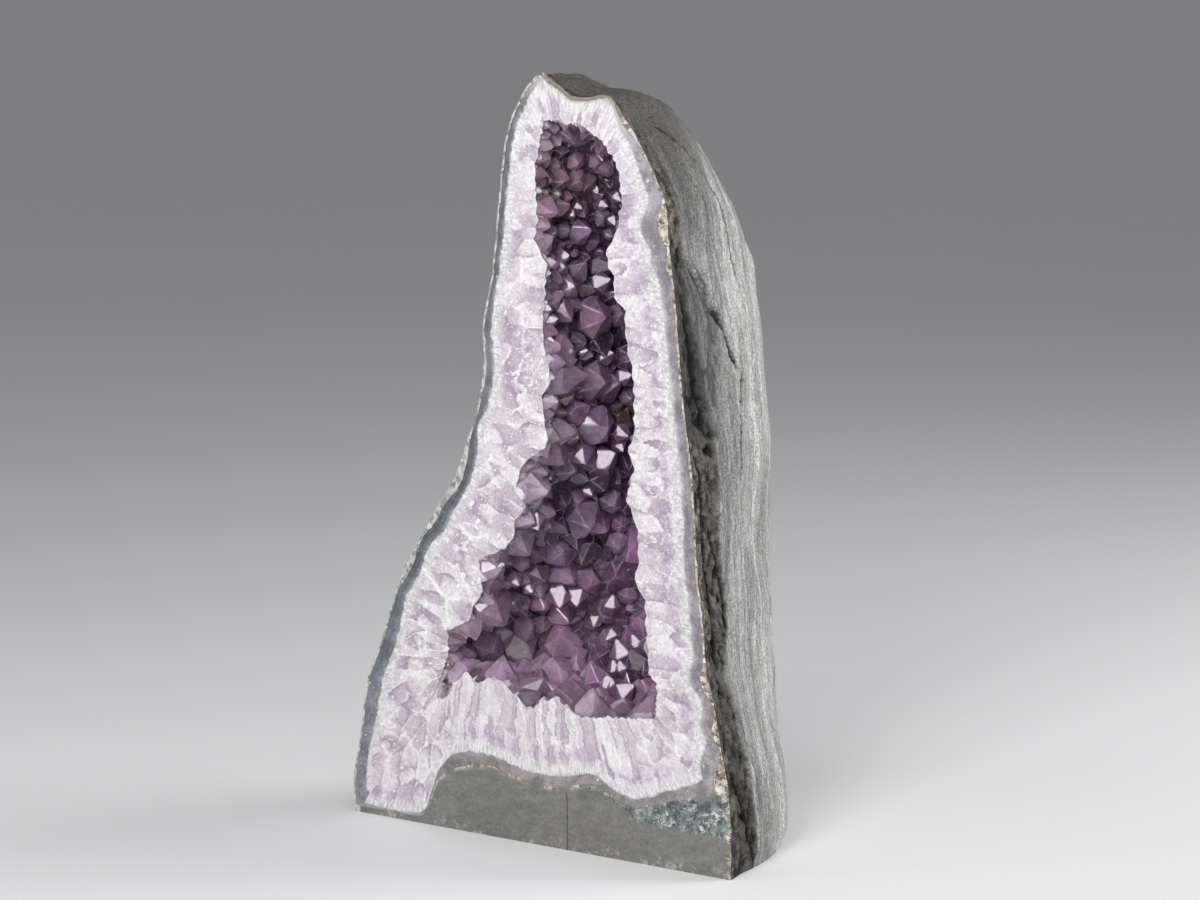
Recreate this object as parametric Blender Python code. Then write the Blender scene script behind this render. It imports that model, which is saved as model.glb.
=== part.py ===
"""Amethyst cathedral geode: half of a tall cavity in basalt, sawn open and standing on a flat cut.

Run with: blender --background --python part.py
Metres, +Z up. The origin is the middle of the flat base and -Y is the sawn face. The geode is
built as it grew, from three nested domes that all end at the sawn face: the basalt rind, the
wall of agate and pale quartz inside it, and the crust of amethyst crystals that lines the hollow.
"""

import math
import random

import bmesh
import bpy
from mathutils import Vector, noise
from mathutils.bvhtree import BVHTree

MM = 0.001

# Driving dimensions, in millimetres
HEIGHT = 414.0  # base to the highest point of the sawn face
DEPTH = 135.0  # sawn face to the back
RIND_FACE = 3.2  # thickness of the rock rim round the sawn face
RIND_BACK = 10.0  # rock behind the agate
WALL_BACK = 31.0  # agate and quartz behind the hollow
CRUST_SHEET = 3.5  # sheet that the crystals stand on
GAP_FACE = 0.4  # between neighbouring solids on the sawn face
GAP_HIDDEN = 0.8  # and out of sight
WELD = 0.1  # corners left closer than this by a cut become one
SAW_OVERRUN = 7.0  # how far the crust runs out in front before it is sawn flush

# Shape of every dome behind its outline on the sawn face
BACK_ROUND = 2.2  # superellipse exponent of a level section, so the back is a broad curve
BACK_DROP = 0.45  # share of the height that the top loses on its way to the back
SPINE_FOOT = 15.0  # x of the middle line that the sides close on, at the base
SPINE_TOP = 40.0  # and at the top, because the geode leans
FLOOR_REACH = 130.0  # height over which the floors of the inner domes curve up
FLOOR_LEVELLING = 0.8  # how nearly level those floors are at the back
AGATE_LIFT = 30.0  # rise of the agate's floor on its way to the back
QUARTZ_LIFT = 55.0  # and of the quartz under the hollow
FOOT_TUCK = 3.0  # how far the rock's lower edge is worn in
FOOT_RISE = 12.0  # height up to which it is worn

# Outlines on the sawn face, as (x, z) in millimetres, clockwise from the left foot.
# An arch runs up the left side, over the top and down the right; a sill runs back underneath.
OUTER_ARCH = [
    (-126, 0), (-127, 18), (-122, 44), (-116, 77), (-108, 96), (-98, 122), (-90, 142), (-76, 161),
    (-66, 178), (-54, 196), (-46, 214), (-37, 236), (-34, 258), (-34, 279), (-29, 302), (-25, 325),
    (-22, 350), (-19.5, 378), (-14, 394), (-5.5, 406), (5, HEIGHT), (13, 409.5), (24, 402),
    (36, 400), (46, 402), (56, 393), (66, 381), (76, 365), (84, 346), (87, 320), (91, 290),
    (94, 262), (98, 230), (102, 190), (105, 155), (110, 110), (118, 75), (125, 45), (127, 22),
    (126, 0),
]
OUTER_SILL = [(126, 0), (-126, 0)]
ROCK_MOUND = [
    (121, 44), (111, 42), (101, 40), (88, 36), (74, 32), (64, 30), (51, 33), (42, 38), (30, 37),
    (15, 33), (-4, 34), (-18, 36), (-30, 39), (-45, 37), (-58, 33), (-68, 25), (-73, 13),
    (-79, 4.5), (-100, 3.5), (-122, 3.5),
]
QUARTZ_ARCH = [
    (-76, 62), (-73, 90), (-68, 112), (-54, 124), (-48, 140), (-44, 156), (-27, 168), (-19, 186),
    (-14, 206), (-5, 222), (-5, 245), (-3, 270), (-4, 300), (-8, 325), (-8, 350), (-7, 372),
    (-1, 389), (9, 396), (22, 395), (36, 391), (50, 383), (60, 370), (65, 352), (64, 335),
    (60, 318), (62, 300), (68, 282), (73, 255), (73, 225), (73, 200), (76, 175), (77, 150),
    (81, 125), (85, 100), (89, 84), (88, 66),
]
QUARTZ_SILL = [
    (88, 66), (70, 64), (46, 63), (25, 64), (5, 64), (-15, 66), (-35, 70), (-55, 67), (-76, 62),
]

# Where the rim of rock is thicker: share of the way round the arch, half width, extra mm
RIM_LUMPS = [(0.17, 0.020, 3.0), (0.23, 0.035, 4.5), (0.62, 0.022, 5.0), (0.80, 0.030, 3.0)]

# Relief of the outside, in millimetres
BARE_ROCK_DEPTH = 21.0  # strip of bare rock beside the sawn face, on the right
BARE_ROCK_RECESS = 1.3  # how far it lies below the ground back
BARE_ROCK_FROM = 0.56  # it starts this share of the way round the arch, just past the top
LUMP_SIZE = 55.0
LUMP_HEIGHT = 2.4
LEDGE_LENGTH = 60.0  # ledges run upwards
LEDGE_WIDTH = 13.0
LEDGE_HEIGHT = 2.2
SWELLS = [(385.0, 60.0, 4.5), (265.0, 110.0, 5.0), (75.0, 85.0, -2.6)]  # height, half height, out
# Crevices: share of the way round the arch, mm behind the face, length, width, depth
CREVICES = [
    (0.700, 21.5, 34.0, 3.6, 2.6),
    (0.675, 44.0, 26.0, 3.0, 2.6),
    (0.655, 50.0, 20.0, 2.6, 2.4),
    (0.745, 62.0, 44.0, 2.4, 2.6),
    (0.860, 24.0, 52.0, 3.4, 2.4),
    (0.975, 17.0, 26.0, 5.0, 4.0),
    (0.300, 46.0, 40.0, 3.0, 2.6),
]

# Crystals
CRYSTAL_SEED = 11
CRYSTAL_WIDTHS = [(60, 27.0), (150, 27.0), (230, 24.0), (300, 18.0), (400, 15.0)]  # height, width
CRYSTAL_PASSES = [(1.0, 600), (0.7, 600)]  # share of that width, tries
CRYSTAL_SPACING = 0.93  # of the mean width of two neighbours
CRYSTAL_ROOM = 1.9  # hollow needed in front of a crystal, as a share of its width
CRYSTAL_LEAN = 0.16
CRYSTAL_SHAFTS = (0.10, 0.34)  # shortest and longest prism below the tip, as a share of its width
SHAFT_TAPER = 0.92  # foot of a crystal over its shoulder
TIP_SLOPE = 1.1  # height of a quartz tip over the radius of its hexagon
TIP_SHIFT = 0.16  # how far a tip stands off the axis, as a share of the radius

# Rings of each dome, from the sawn face to the back: points along the arch and along the sill
ROCK_RINGS = [(64, 16)] + [(n, 6) for n in (64, 64, 64, 60, 54, 50, 46, 42, 40, 36, 32, 28, 24, 18, 14)]
ROCK_BACKS = (0, 0.03, 0.075, 0.125, 0.155, 0.19)  # places of the first ones, round the bare strip
AGATE_RINGS = [(64, 22), (36, 12), (30, 10), (26, 8), (22, 7), (16, 6), (10, 4)]
QUARTZ_RINGS = [(52, 16), (32, 10), (28, 8), (22, 7), (16, 6), (10, 4)]
LAST_RING = 0.985  # share of the depth at which a dome's last ring lies

FACE_Y = -DEPTH / 2
ARCH_SHARE = 0.78  # share of a ring's parameter that its arch takes; the sill has the rest
SAMPLES = 480  # points kept along a smooth outline
CURVE_STEPS = 12  # between two points of an outline


def catmull_rom(p, q, r, s, t):
    """A number between q and r, on the smooth curve through all four."""
    return 0.5 * (
        2 * q + (r - p) * t + (2 * p - 5 * q + 4 * r - s) * t**2 + (3 * q - p - 3 * r + s) * t**3
    )


def smooth_line(points):
    """A smooth curve through the points, as evenly spaced (x, z) pairs."""
    ends = [points[0], *points, points[-1]]
    dense = []
    for four in zip(ends, ends[1:], ends[2:], ends[3:]):
        for step in range(CURVE_STEPS):
            dense.append(tuple(catmull_rom(*values, step / CURVE_STEPS) for values in zip(*four)))
    dense.append(points[-1])
    lengths = [0.0]
    for a, b in zip(dense, dense[1:]):
        lengths.append(lengths[-1] + math.dist(a, b))
    line = []
    at = 0
    for k in range(SAMPLES):
        want = lengths[-1] * k / (SAMPLES - 1)
        while at < len(dense) - 2 and lengths[at + 1] < want:
            at += 1
        t = (want - lengths[at]) / (lengths[at + 1] - lengths[at])
        line.append(tuple(p + (q - p) * t for p, q in zip(dense[at], dense[at + 1])))
    return line


def along(line, share):
    """The point a share of the way along a line."""
    place = min(max(share, 0.0), 1.0) * (len(line) - 1)
    k = min(int(place), len(line) - 2)
    return tuple(p + (q - p) * (place - k) for p, q in zip(line[k], line[k + 1]))


def bump(value, middle, half_width):
    """1 at the middle, falling smoothly to 0 at half_width away."""
    away = abs(value - middle) / half_width
    return 0.0 if away >= 1 else (1 - away * away) ** 2


def ramp(value, low, high):
    """Smooth step from 0 at low to 1 at high."""
    t = min(max((value - low) / (high - low), 0.0), 1.0)
    return t * t * (3 - 2 * t)


def inset_arch(arch):
    """The outer arch moved inwards by the rim's thickness, from the left foot to the mound."""
    inner = [ROCK_MOUND[-1]]
    for k in range(1, len(arch) - 1):
        before, here, after = arch[max(k - 4, 0)], arch[k], arch[min(k + 4, len(arch) - 1)]
        step = Vector((after[0] - before[0], after[1] - before[1])).normalized()
        share = k / (len(arch) - 1)
        thick = RIND_FACE + sum(extra * bump(share, mid, half) for mid, half, extra in RIM_LUMPS)
        point = (here[0] + step.y * thick, here[1] - step.x * thick)
        lowest = ROCK_MOUND[-1][1] if share < 0.5 else ROCK_MOUND[0][1]
        if point[1] > lowest:
            inner.append(point)
    return [*inner, ROCK_MOUND[0]]


class Dome:
    """A surface that starts at an outline on the sawn face and closes behind it."""

    def __init__(self, arch, sill, depth, lift=0.0):
        self.arch, self.sill = arch, sill
        self.depth = depth
        self.lift = lift
        self.top = max(z for _, z in arch)
        self.floor = min(z for _, z in sill)
        self.level = max(z for _, z in sill)

    def outline(self, share):
        share %= 1.0
        if share <= ARCH_SHARE:
            return along(self.arch, share / ARCH_SHARE)
        return along(self.sill, (share - ARCH_SHARE) / (1 - ARCH_SHARE))

    def bare(self, share, back):
        """The point at a share of the way round and a share of the way back, without relief."""
        x, z = self.outline(share)
        inside = min(max(back, 0.0), 1.0)
        squeeze = (1 - inside**BACK_ROUND) ** (1 / BACK_ROUND)
        sink = 1 - math.sqrt(1 - inside**2)
        spine = SPINE_FOOT + (SPINE_TOP - SPINE_FOOT) * z / HEIGHT
        tall = z / self.top
        low = max(1 - (z - self.floor) / FLOOR_REACH, 0.0)
        z += FLOOR_LEVELLING * ramp(inside, 0.0, 0.5) * max(self.level - z, 0.0)
        z += sink * (self.lift * low * low - BACK_DROP * z * tall * tall)
        return Vector((spine + (x - spine) * squeeze, FACE_Y + self.depth * back, z))

    def outward(self, share, back):
        """Unit normal, away from the hollow."""
        step = 0.004
        round_it = self.bare(share + step, back) - self.bare(share - step, back)
        behind = self.bare(share, min(back + step, 0.999)) - self.bare(share, back - step)
        return round_it.cross(behind).normalized()

    def point(self, share, back):
        return self.bare(share, back)


class Rock(Dome):
    """The outside of the geode: lumps and ledges, a worn lower edge and a flat base."""

    def bare(self, share, back):
        point = super().bare(share, back)
        tuck = FOOT_TUCK * (1 - ramp(point.z, 0, FOOT_RISE)) * ramp(back, 0.0, 0.12)
        side = Vector((point.x - SPINE_FOOT, point.y, 0))
        return point - side.normalized() * tuck if side.length > tuck else point

    def relief(self, share, back, here):
        """Height of the relief, in millimetres. The face's edge and the base stay true."""
        deep = back * DEPTH
        rise = LUMP_HEIGHT * noise.noise(here / LUMP_SIZE) * ramp(deep, 8, 45)
        grain = Vector((here.x / LEDGE_WIDTH, here.y / LEDGE_WIDTH, here.z / LEDGE_LENGTH))
        rise += LEDGE_HEIGHT * noise.noise(grain + Vector((7, 3, 1)))
        swell = sum(height * bump(here.z, middle, half) for middle, half, height in SWELLS)
        rise += swell * ramp(deep, 4, 34) * (1 - ramp(deep, 90, 120))
        bare_rock = ramp(share / ARCH_SHARE, BARE_ROCK_FROM, BARE_ROCK_FROM + 0.06)
        edge = BARE_ROCK_DEPTH + 4 * noise.noise(Vector((0, 5, here.z / 60)))
        rise -= BARE_ROCK_RECESS * bare_rock * (1 - ramp(deep, edge - 2, edge + 2))
        return rise * ramp(deep, 0, 12) * ramp(here.z, 0, 20)

    def point(self, share, back):
        here = self.bare(share, back)
        if share <= 0 or share >= ARCH_SHARE or back <= 0:
            return here
        here += self.outward(share, back) * self.relief(share, back, here)
        here.z = max(here.z, 0.0)
        return here


def spread_backs(count):
    """Shares of the way back that space rings evenly round a dome's curve."""
    reach = math.asin(LAST_RING)
    return [math.sin(reach * k / (count - 1)) for k in range(count)]


def ring_shares(arch_count, sill_count):
    """Shares of the way round for one ring, with a point at both corners."""
    shares = [ARCH_SHARE * k / arch_count for k in range(arch_count)]
    return shares + [ARCH_SHARE + (1 - ARCH_SHARE) * k / sill_count for k in range(sill_count)]


def stitch(bm, ring_a, shares_a, ring_b, shares_b):
    """Triangles between two rings of one dome, in step with their shares."""
    a, b = 0, 0
    count_a, count_b = len(ring_a), len(ring_b)
    while a < count_a or b < count_b:
        next_a = shares_a[a + 1] if a + 1 < count_a else 1.0
        next_b = shares_b[b + 1] if b + 1 < count_b else 1.0
        here_a, here_b = ring_a[a % count_a], ring_b[b % count_b]
        if b >= count_b or (a < count_a and next_a <= next_b):
            bm.faces.new((here_a, ring_a[(a + 1) % count_a], here_b))
            a += 1
        else:
            bm.faces.new((here_a, ring_b[(b + 1) % count_b], here_b))
            b += 1


def stitch_flat(bm, outer, inner):
    """Triangles between two outlines on the sawn face, across the shorter diagonal each time."""
    a, b = 0, 0
    while a < len(outer) or b < len(inner):
        here_a, here_b = outer[a % len(outer)], inner[b % len(inner)]
        next_a, next_b = outer[(a + 1) % len(outer)], inner[(b + 1) % len(inner)]
        to_a = (next_a.co - here_b.co).length if a < len(outer) else math.inf
        to_b = (next_b.co - here_a.co).length if b < len(inner) else math.inf
        if to_a <= to_b:
            bm.faces.new((here_a, next_a, here_b))
            a += 1
        else:
            bm.faces.new((here_a, next_b, here_b))
            b += 1


def inset_skin(front, others, on_face, hidden):
    """Move one skin inwards. Its front ring stays in the plane of the saw."""
    moves = [v.normal * v.calc_shell_factor() for v in others]
    aside = []
    for k, vert in enumerate(front):
        sides = []
        for step in (vert.co - front[k - 1].co, front[(k + 1) % len(front)].co - vert.co):
            sides.append(Vector((-step.z, 0, step.x)).normalized())
        middle = (sides[0] + sides[1]).normalized()
        aside.append(middle / middle.dot(sides[0]))
    for v, move in zip(front, aside):
        v.co -= move * on_face * MM
    for v, move in zip(others, moves):
        v.co -= move * hidden * MM


def add_skin(bm, dome, rings, inset):
    """One skin of the dome, from its front ring to the point that closes it.

    rings holds (share of the way back, points along the arch, points along the sill), and inset
    how far the skin is moved inwards, on the sawn face and behind it. Returns the front ring.
    """
    made = []
    for back, arch_count, sill_count in rings:
        shares = ring_shares(arch_count, sill_count)
        made.append(([bm.verts.new(dome.point(s, back) * MM) for s in shares], shares))
    for near, far in zip(made, made[1:]):
        stitch(bm, *near, *far)
    front, last = made[0][0], made[-1][0]
    tip = sum((v.co for v in last), Vector()) / len(last)
    tip.y = (FACE_Y + dome.depth) * MM
    centre = bm.verts.new(tip)
    for k in range(len(last)):
        bm.faces.new((last[k], last[(k + 1) % len(last)], centre))
    if any(inset):
        bm.normal_update()
        inset_skin(front, [*(v for ring, _ in made[1:] for v in ring), centre], *inset)
    return front


def finish_mesh(bm, name):
    bmesh.ops.recalc_face_normals(bm, faces=bm.faces)
    mesh = bpy.data.meshes.new(name)
    bm.to_mesh(mesh)
    bm.free()
    return bpy.data.objects.new(name, mesh)


def wall_between(name, outside, inside):
    """A closed wall between two skins, each (dome, rings, inset), with a flat ring in front."""
    bm = bmesh.new()
    stitch_flat(bm, add_skin(bm, *outside), add_skin(bm, *inside))
    return finish_mesh(bm, name)


def block_inside(name, dome, rings, inset):
    """Everything behind the sawn face and inside the dome."""
    bm = bmesh.new()
    bm.faces.new(add_skin(bm, dome, rings, inset))
    return finish_mesh(bm, name)


def crystal_width(height):
    """Width of the largest crystals at a height: small at the top, large lower down."""
    for (low, width_low), (high, width_high) in zip(CRYSTAL_WIDTHS, CRYSTAL_WIDTHS[1:]):
        if height <= high:
            t = max((height - low) / (high - low), 0.0)
            return width_low + (width_high - width_low) * t
    return CRYSTAL_WIDTHS[-1][1]


def place_crystals(dome, hollow, chance):
    """Roots, widths and axes of crystals on the dome's inside, the large ones first."""
    room = BVHTree.FromPolygons(
        [v.co for v in hollow.data.vertices], [face.vertices for face in hollow.data.polygons]
    )
    placed = []
    for scale, tries in CRYSTAL_PASSES:
        for _ in range(tries):
            share = chance.random()
            back = math.sin(chance.uniform(-0.05, 0.93) * math.pi / 2)
            inwards = -dome.outward(share, back)
            root = dome.point(share, back) + inwards * CRUST_SHEET
            width = crystal_width(root.z) * scale * chance.uniform(0.88, 1.12)
            if any((root - near).length < CRYSTAL_SPACING * (width + w) / 2 for near, w, _ in placed):
                continue
            lean = Vector([chance.gauss(0, CRYSTAL_LEAN) for _ in range(3)])
            axis = (inwards + lean).normalized()
            across = room.ray_cast(root * MM, axis)[3]
            if across and across < CRYSTAL_ROOM * width * MM:
                continue
            placed.append((root, width, axis))
    return placed


def add_crystal(bm, root, width, axis, chance):
    """A six-sided quartz point: a hexagonal prism whose far end is poked out into a pyramid."""
    radius = width / 2
    sunk = CRUST_SHEET * 0.7
    length = width * chance.uniform(*CRYSTAL_SHAFTS) + sunk
    shift = [chance.uniform(-TIP_SHIFT, TIP_SHIFT) * radius for _ in range(2)]
    turn = chance.uniform(0, math.tau)
    verts = bmesh.ops.create_cone(
        bm, cap_ends=True, segments=6, radius1=radius * SHAFT_TAPER, radius2=radius, depth=length
    )["verts"]
    shoulder = max({f for v in verts for f in v.link_faces}, key=lambda f: f.calc_center_median().z)
    apex = bmesh.ops.poke(bm, faces=[shoulder])["verts"][0]
    apex.co += Vector((*shift, TIP_SLOPE * radius))
    first = axis.orthogonal().normalized()
    second = axis.cross(first)
    side = first * math.cos(turn) + second * math.sin(turn)
    other = axis.cross(side)
    for v in [*verts, apex]:
        v.co = (root + side * v.co.x + other * v.co.y + axis * (v.co.z + length / 2 - sunk)) * MM


def crystal_points(dome, hollow):
    chance = random.Random(CRYSTAL_SEED)
    bm = bmesh.new()
    for root, width, axis in place_crystals(dome, hollow, chance):
        add_crystal(bm, root, width, axis, chance)
    return finish_mesh(bm, "crystal_points")


def crevice_cutter(rock):
    """Long lens-shaped slits along the outside, one closed mesh each."""
    bm = bmesh.new()
    for share, deep, length, width, depth in CREVICES:
        at, back = share * ARCH_SHARE, deep / DEPTH
        middle = rock.point(at, back)
        out = rock.outward(at, back)
        upwards = (rock.point(at + 0.01, back) - rock.point(at - 0.01, back)).normalized()
        across = out.cross(upwards).normalized()
        slit = bmesh.ops.create_uvsphere(bm, u_segments=6, v_segments=4, radius=0.5)["verts"]
        for v in slit:
            x, y, z = v.co
            v.co = (middle + across * x * width + out * y * 2 * depth + upwards * z * length) * MM
    return finish_mesh(bm, "crevices")


def stone_material(name, colour, roughness):
    material = bpy.data.materials.new(name)
    material.use_nodes = True
    shader = material.node_tree.nodes["Principled BSDF"]
    shader.inputs["Base Color"].default_value = (*colour, 1)
    shader.inputs["Roughness"].default_value = roughness
    shader.inputs["Metallic"].default_value = 0.0
    material.diffuse_color = (*colour, 1)
    return material


def combine(target, operation, other, use_self=False):
    modifier = target.modifiers.new(operation.lower(), "BOOLEAN")
    modifier.operation = operation
    modifier.object = other
    modifier.solver = "EXACT"
    modifier.use_self = use_self


def main():
    for thing in list(bpy.data.objects):
        bpy.data.objects.remove(thing)
    geode = bpy.data.collections.new("amethyst_geode")
    cutters = bpy.data.collections.new("cutters")
    bpy.context.scene.collection.children.link(geode)
    bpy.context.scene.collection.children.link(cutters)

    outer_arch = smooth_line(OUTER_ARCH)
    agate_depth = DEPTH - RIND_BACK
    rock = Rock(outer_arch, smooth_line(OUTER_SILL), DEPTH)
    agate = Dome(inset_arch(outer_arch), smooth_line(ROCK_MOUND), agate_depth, AGATE_LIFT)
    quartz = Dome(
        smooth_line(QUARTZ_ARCH), smooth_line(QUARTZ_SILL), agate_depth - WALL_BACK, QUARTZ_LIFT
    )

    rock_backs = [*ROCK_BACKS, *spread_backs(12)[2:]]
    rock_rings = [(back, *counts) for back, counts in zip(rock_backs, ROCK_RINGS)]
    agate_rings = [(back, *counts) for back, counts in zip(spread_backs(7), AGATE_RINGS)]
    quartz_rings = [(back, *counts) for back, counts in zip(spread_backs(6), QUARTZ_RINGS)]
    overrun_rings = [(-SAW_OVERRUN / quartz.depth, *QUARTZ_RINGS[0]), *quartz_rings[1:]]

    flush, gap, sheet = (0, 0), (GAP_FACE, GAP_HIDDEN), (CRUST_SHEET, CRUST_SHEET)
    rind = wall_between("basalt_rind", (rock, rock_rings, flush), (agate, agate_rings, flush))
    wall = wall_between("quartz_wall", (agate, agate_rings, gap), (quartz, quartz_rings, flush))
    crust = wall_between(
        "amethyst_crust", (quartz, overrun_rings, flush), (quartz, overrun_rings, sheet)
    )
    hollow = block_inside("hollow", quartz, quartz_rings, gap)
    points = crystal_points(quartz, hollow)
    crevices = crevice_cutter(rock)
    for cutter in (hollow, points, crevices):
        cutters.objects.link(cutter)
        cutter.hide_render = True
        cutter.display_type = "WIRE"

    combine(rind, "DIFFERENCE", crevices)
    combine(crust, "UNION", points, use_self=True)
    combine(crust, "INTERSECT", hollow)
    for thing in (rind, crust):
        weld = thing.modifiers.new("weld", "WELD")
        weld.merge_threshold = WELD * MM

    finishes = [
        (rind, "basalt", (0.21, 0.21, 0.20), 0.85),
        (wall, "pale_quartz", (0.74, 0.68, 0.78), 0.35),
        (crust, "amethyst", (0.20, 0.09, 0.25), 0.18),
    ]
    for thing, name, colour, roughness in finishes:
        geode.objects.link(thing)
        thing.data.materials.append(stone_material(name, colour, roughness))


main()
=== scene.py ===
"""Looks of the amethyst cathedral geode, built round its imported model.

Shapes are worked out in millimetres and written in metres, +Z up. The sawn face is the plane
y = FACE_Y and looks along -Y; the hollow lies behind it.
"""

import math
import random

import bmesh
import bpy
import numpy as np
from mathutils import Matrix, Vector, noise
from mathutils.bvhtree import BVHTree


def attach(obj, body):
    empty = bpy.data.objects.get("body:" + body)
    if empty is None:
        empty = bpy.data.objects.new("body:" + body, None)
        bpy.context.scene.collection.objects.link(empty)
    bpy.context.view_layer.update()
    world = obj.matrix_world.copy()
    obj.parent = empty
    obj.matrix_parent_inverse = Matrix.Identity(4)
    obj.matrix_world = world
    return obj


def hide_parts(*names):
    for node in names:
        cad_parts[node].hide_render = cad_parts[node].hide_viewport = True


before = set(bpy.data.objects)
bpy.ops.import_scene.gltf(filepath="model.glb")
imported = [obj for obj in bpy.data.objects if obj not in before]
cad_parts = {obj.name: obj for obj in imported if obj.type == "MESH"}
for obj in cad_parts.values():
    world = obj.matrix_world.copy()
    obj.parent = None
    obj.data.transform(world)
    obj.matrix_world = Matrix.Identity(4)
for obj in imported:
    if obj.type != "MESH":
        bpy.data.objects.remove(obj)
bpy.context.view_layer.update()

MM = 0.001
SEED = 7
QUARTZ_IOR = 1.544

# The solid's driving dimensions, in millimetres
HEIGHT = 414.0
DEPTH = 135.0
FACE_Y = -DEPTH / 2
RIND_BACK = 10.0
WALL_BACK = 31.0
AGATE_DEPTH = DEPTH - RIND_BACK
QUARTZ_DEPTH = AGATE_DEPTH - WALL_BACK
BACK_ROUND = 2.2
BACK_DROP = 0.45
SPINE_FOOT = 15.0
SPINE_TOP = 40.0
FLOOR_REACH = 130.0
FLOOR_LEVELLING = 0.8
AGATE_LIFT = 30.0
QUARTZ_LIFT = 55.0
FOOT_TUCK = 3.0
FOOT_RISE = 12.0

# Outlines on the sawn face, as (x, z) in millimetres, clockwise from the left foot
OUTER = [
    (-126, 0), (-127, 20), (-122, 44), (-116, 77), (-108, 95), (-98, 122), (-90, 141), (-76, 162), (-66, 178),
    (-54, 195), (-46, 214), (-38, 234), (-34, 258), (-34, 280), (-29, 302), (-26, 320), (-24, 340), (-21, 364),
    (-18, 380), (-12, 394), (-4, 406), (5, 413), (11, 409.5), (19, 405), (25, 401), (34, 400.5), (44, 402),
    (51, 400), (58, 391), (66, 381), (74, 368), (80, 357), (84.5, 345), (86.5, 324), (89.5, 304), (92, 280),
    (94.5, 255), (97, 236), (100.5, 213), (102.5, 190), (104.5, 160), (107.5, 138), (110.5, 110), (115.5, 90),
    (119, 72), (124, 50), (126.5, 25), (126, 0),
]
MOUND = [
    (121, 44), (111, 41), (101, 39.5), (88, 36), (74, 31.5), (64, 30), (51, 33), (42, 38), (30, 37), (15, 33),
    (-4, 34), (-18, 36), (-30, 39), (-45, 37), (-58, 33), (-68, 25), (-73, 13), (-79, 4.5), (-100, 3.5),
    (-122, 3.5),
]
MOUTH = [
    (-71, 71), (-64, 87), (-60, 97), (-61, 110), (-46, 117), (-42, 126), (-36, 134), (-39, 152), (-23, 159),
    (-15, 165), (-14, 175), (-6, 183), (-14, 191), (-9, 206), (6, 216), (7, 223), (4, 243), (10, 251), (8, 260),
    (5, 272), (5, 288), (7, 313), (-1, 326), (1, 336), (0, 354), (0, 365), (3, 375), (4, 382), (6, 388), (15, 389),
    (21, 387), (29, 388), (36, 383), (44, 379), (51, 371), (55, 363), (56, 352), (58, 347), (55, 342), (55, 336),
    (51, 328), (47, 320), (49, 313), (52, 309), (52, 298), (59, 292), (59, 280), (63, 264), (65, 247), (65, 228),
    (61, 218), (65, 209), (60, 194), (67, 178), (68, 160), (65, 151), (72, 141), (73, 123), (74, 113), (74, 102),
    (80, 97), (79, 86), (79, 78), (73, 78), (60, 76), (46, 75), (30, 73), (22, 76), (14, 81), (3, 78), (-5, 69),
    (-10, 77), (-24, 86), (-33, 86), (-41, 82), (-47, 89), (-62, 71), (-71, 71),
]
# Points of the band's outer edge and of the mouth that face each other
FACING = [
    ((-116, 77), (-64, 87)), ((-98, 122), (-61, 110)), ((-76, 161), (-39, 143)), ((-54, 196), (-14, 175)),
    ((-38, 234), (7, 223)), ((-34, 280), (5, 279)), ((-26, 320), (1, 322)), ((-22, 350), (0, 350)),
    ((-18, 380), (3, 375)), ((-4, 406), (6, 388)), ((11, 409), (15, 389)), ((34, 400), (29, 388)),
    ((51, 400), (40, 381)), ((66, 381), (51, 371)), ((80, 357), (56, 352)), ((86, 324), (50, 325)),
    ((92, 280), (59, 282)), ((97, 236), (65, 238)), ((102, 190), (61, 192)), ((107, 138), (72, 139)),
    ((112, 105), (74, 105)), ((117, 75), (80, 90)), ((121, 44), (79, 78)), ((101, 39.5), (71, 78)),
    ((74, 31.5), (54, 76)), ((51, 33), (40, 74)), ((30, 37), (26, 74)), ((15, 33), (12, 80)), ((-4, 34), (-5, 69)),
    ((-18, 36), (-14, 80)), ((-30, 39), (-28, 86)), ((-45, 37), (-41, 82)), ((-58, 33), (-50, 87)),
    ((-68, 25), (-58, 76)), ((-76, 8), (-63, 71)), ((-100, 3.5), (-67, 71)),
]
QUARTZ_ARCH = [
    (-76, 62), (-73, 90), (-68, 112), (-54, 124), (-48, 140), (-44, 156), (-27, 168), (-19, 186), (-14, 206),
    (-5, 222), (-5, 245), (-3, 270), (-4, 300), (-8, 325), (-8, 350), (-7, 372), (-1, 389), (9, 396), (22, 395),
    (36, 391), (50, 383), (60, 370), (65, 352), (64, 335), (60, 318), (62, 300), (68, 282), (73, 255), (73, 225),
    (73, 200), (76, 175), (77, 150), (81, 125), (85, 100), (89, 84), (88, 66),
]
QUARTZ_SILL = [
    (88, 66), (70, 64), (46, 63), (25, 64), (5, 64), (-15, 66), (-35, 70), (-55, 67), (-76, 62),
]

FOOT_HALF_WIDTH = 126

# Grids of the pieces
ARCH_COLUMNS = 948
SILL_COLUMNS = 264
FACE_ROWS = 46
ROCK_FACE_ROWS = 26
# Rows of the hidden backs, as shares of their depth
HIDDEN_ROWS = [0.1, 0.28, 0.5, 0.72, 0.88, 0.97]

# Crumbly crust between the rock and the agate: share of the arch, half width, extra millimetres
CRUST_LINE = 1.2
CRUST_LUMPS = [
    (0.165, 0.02, 3.2), (0.205, 0.016, 2.4), (0.235, 0.03, 3.8), (0.3, 0.014, 1.2), (0.56, 0.016, 1.4),
    (0.625, 0.016, 5.4), (0.648, 0.01, 2.2), (0.885, 0.014, 4.0), (0.915, 0.01, 3.0), (0.945, 0.02, 7.5),
    (0.5, 0.03, 1.0),
]
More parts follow.
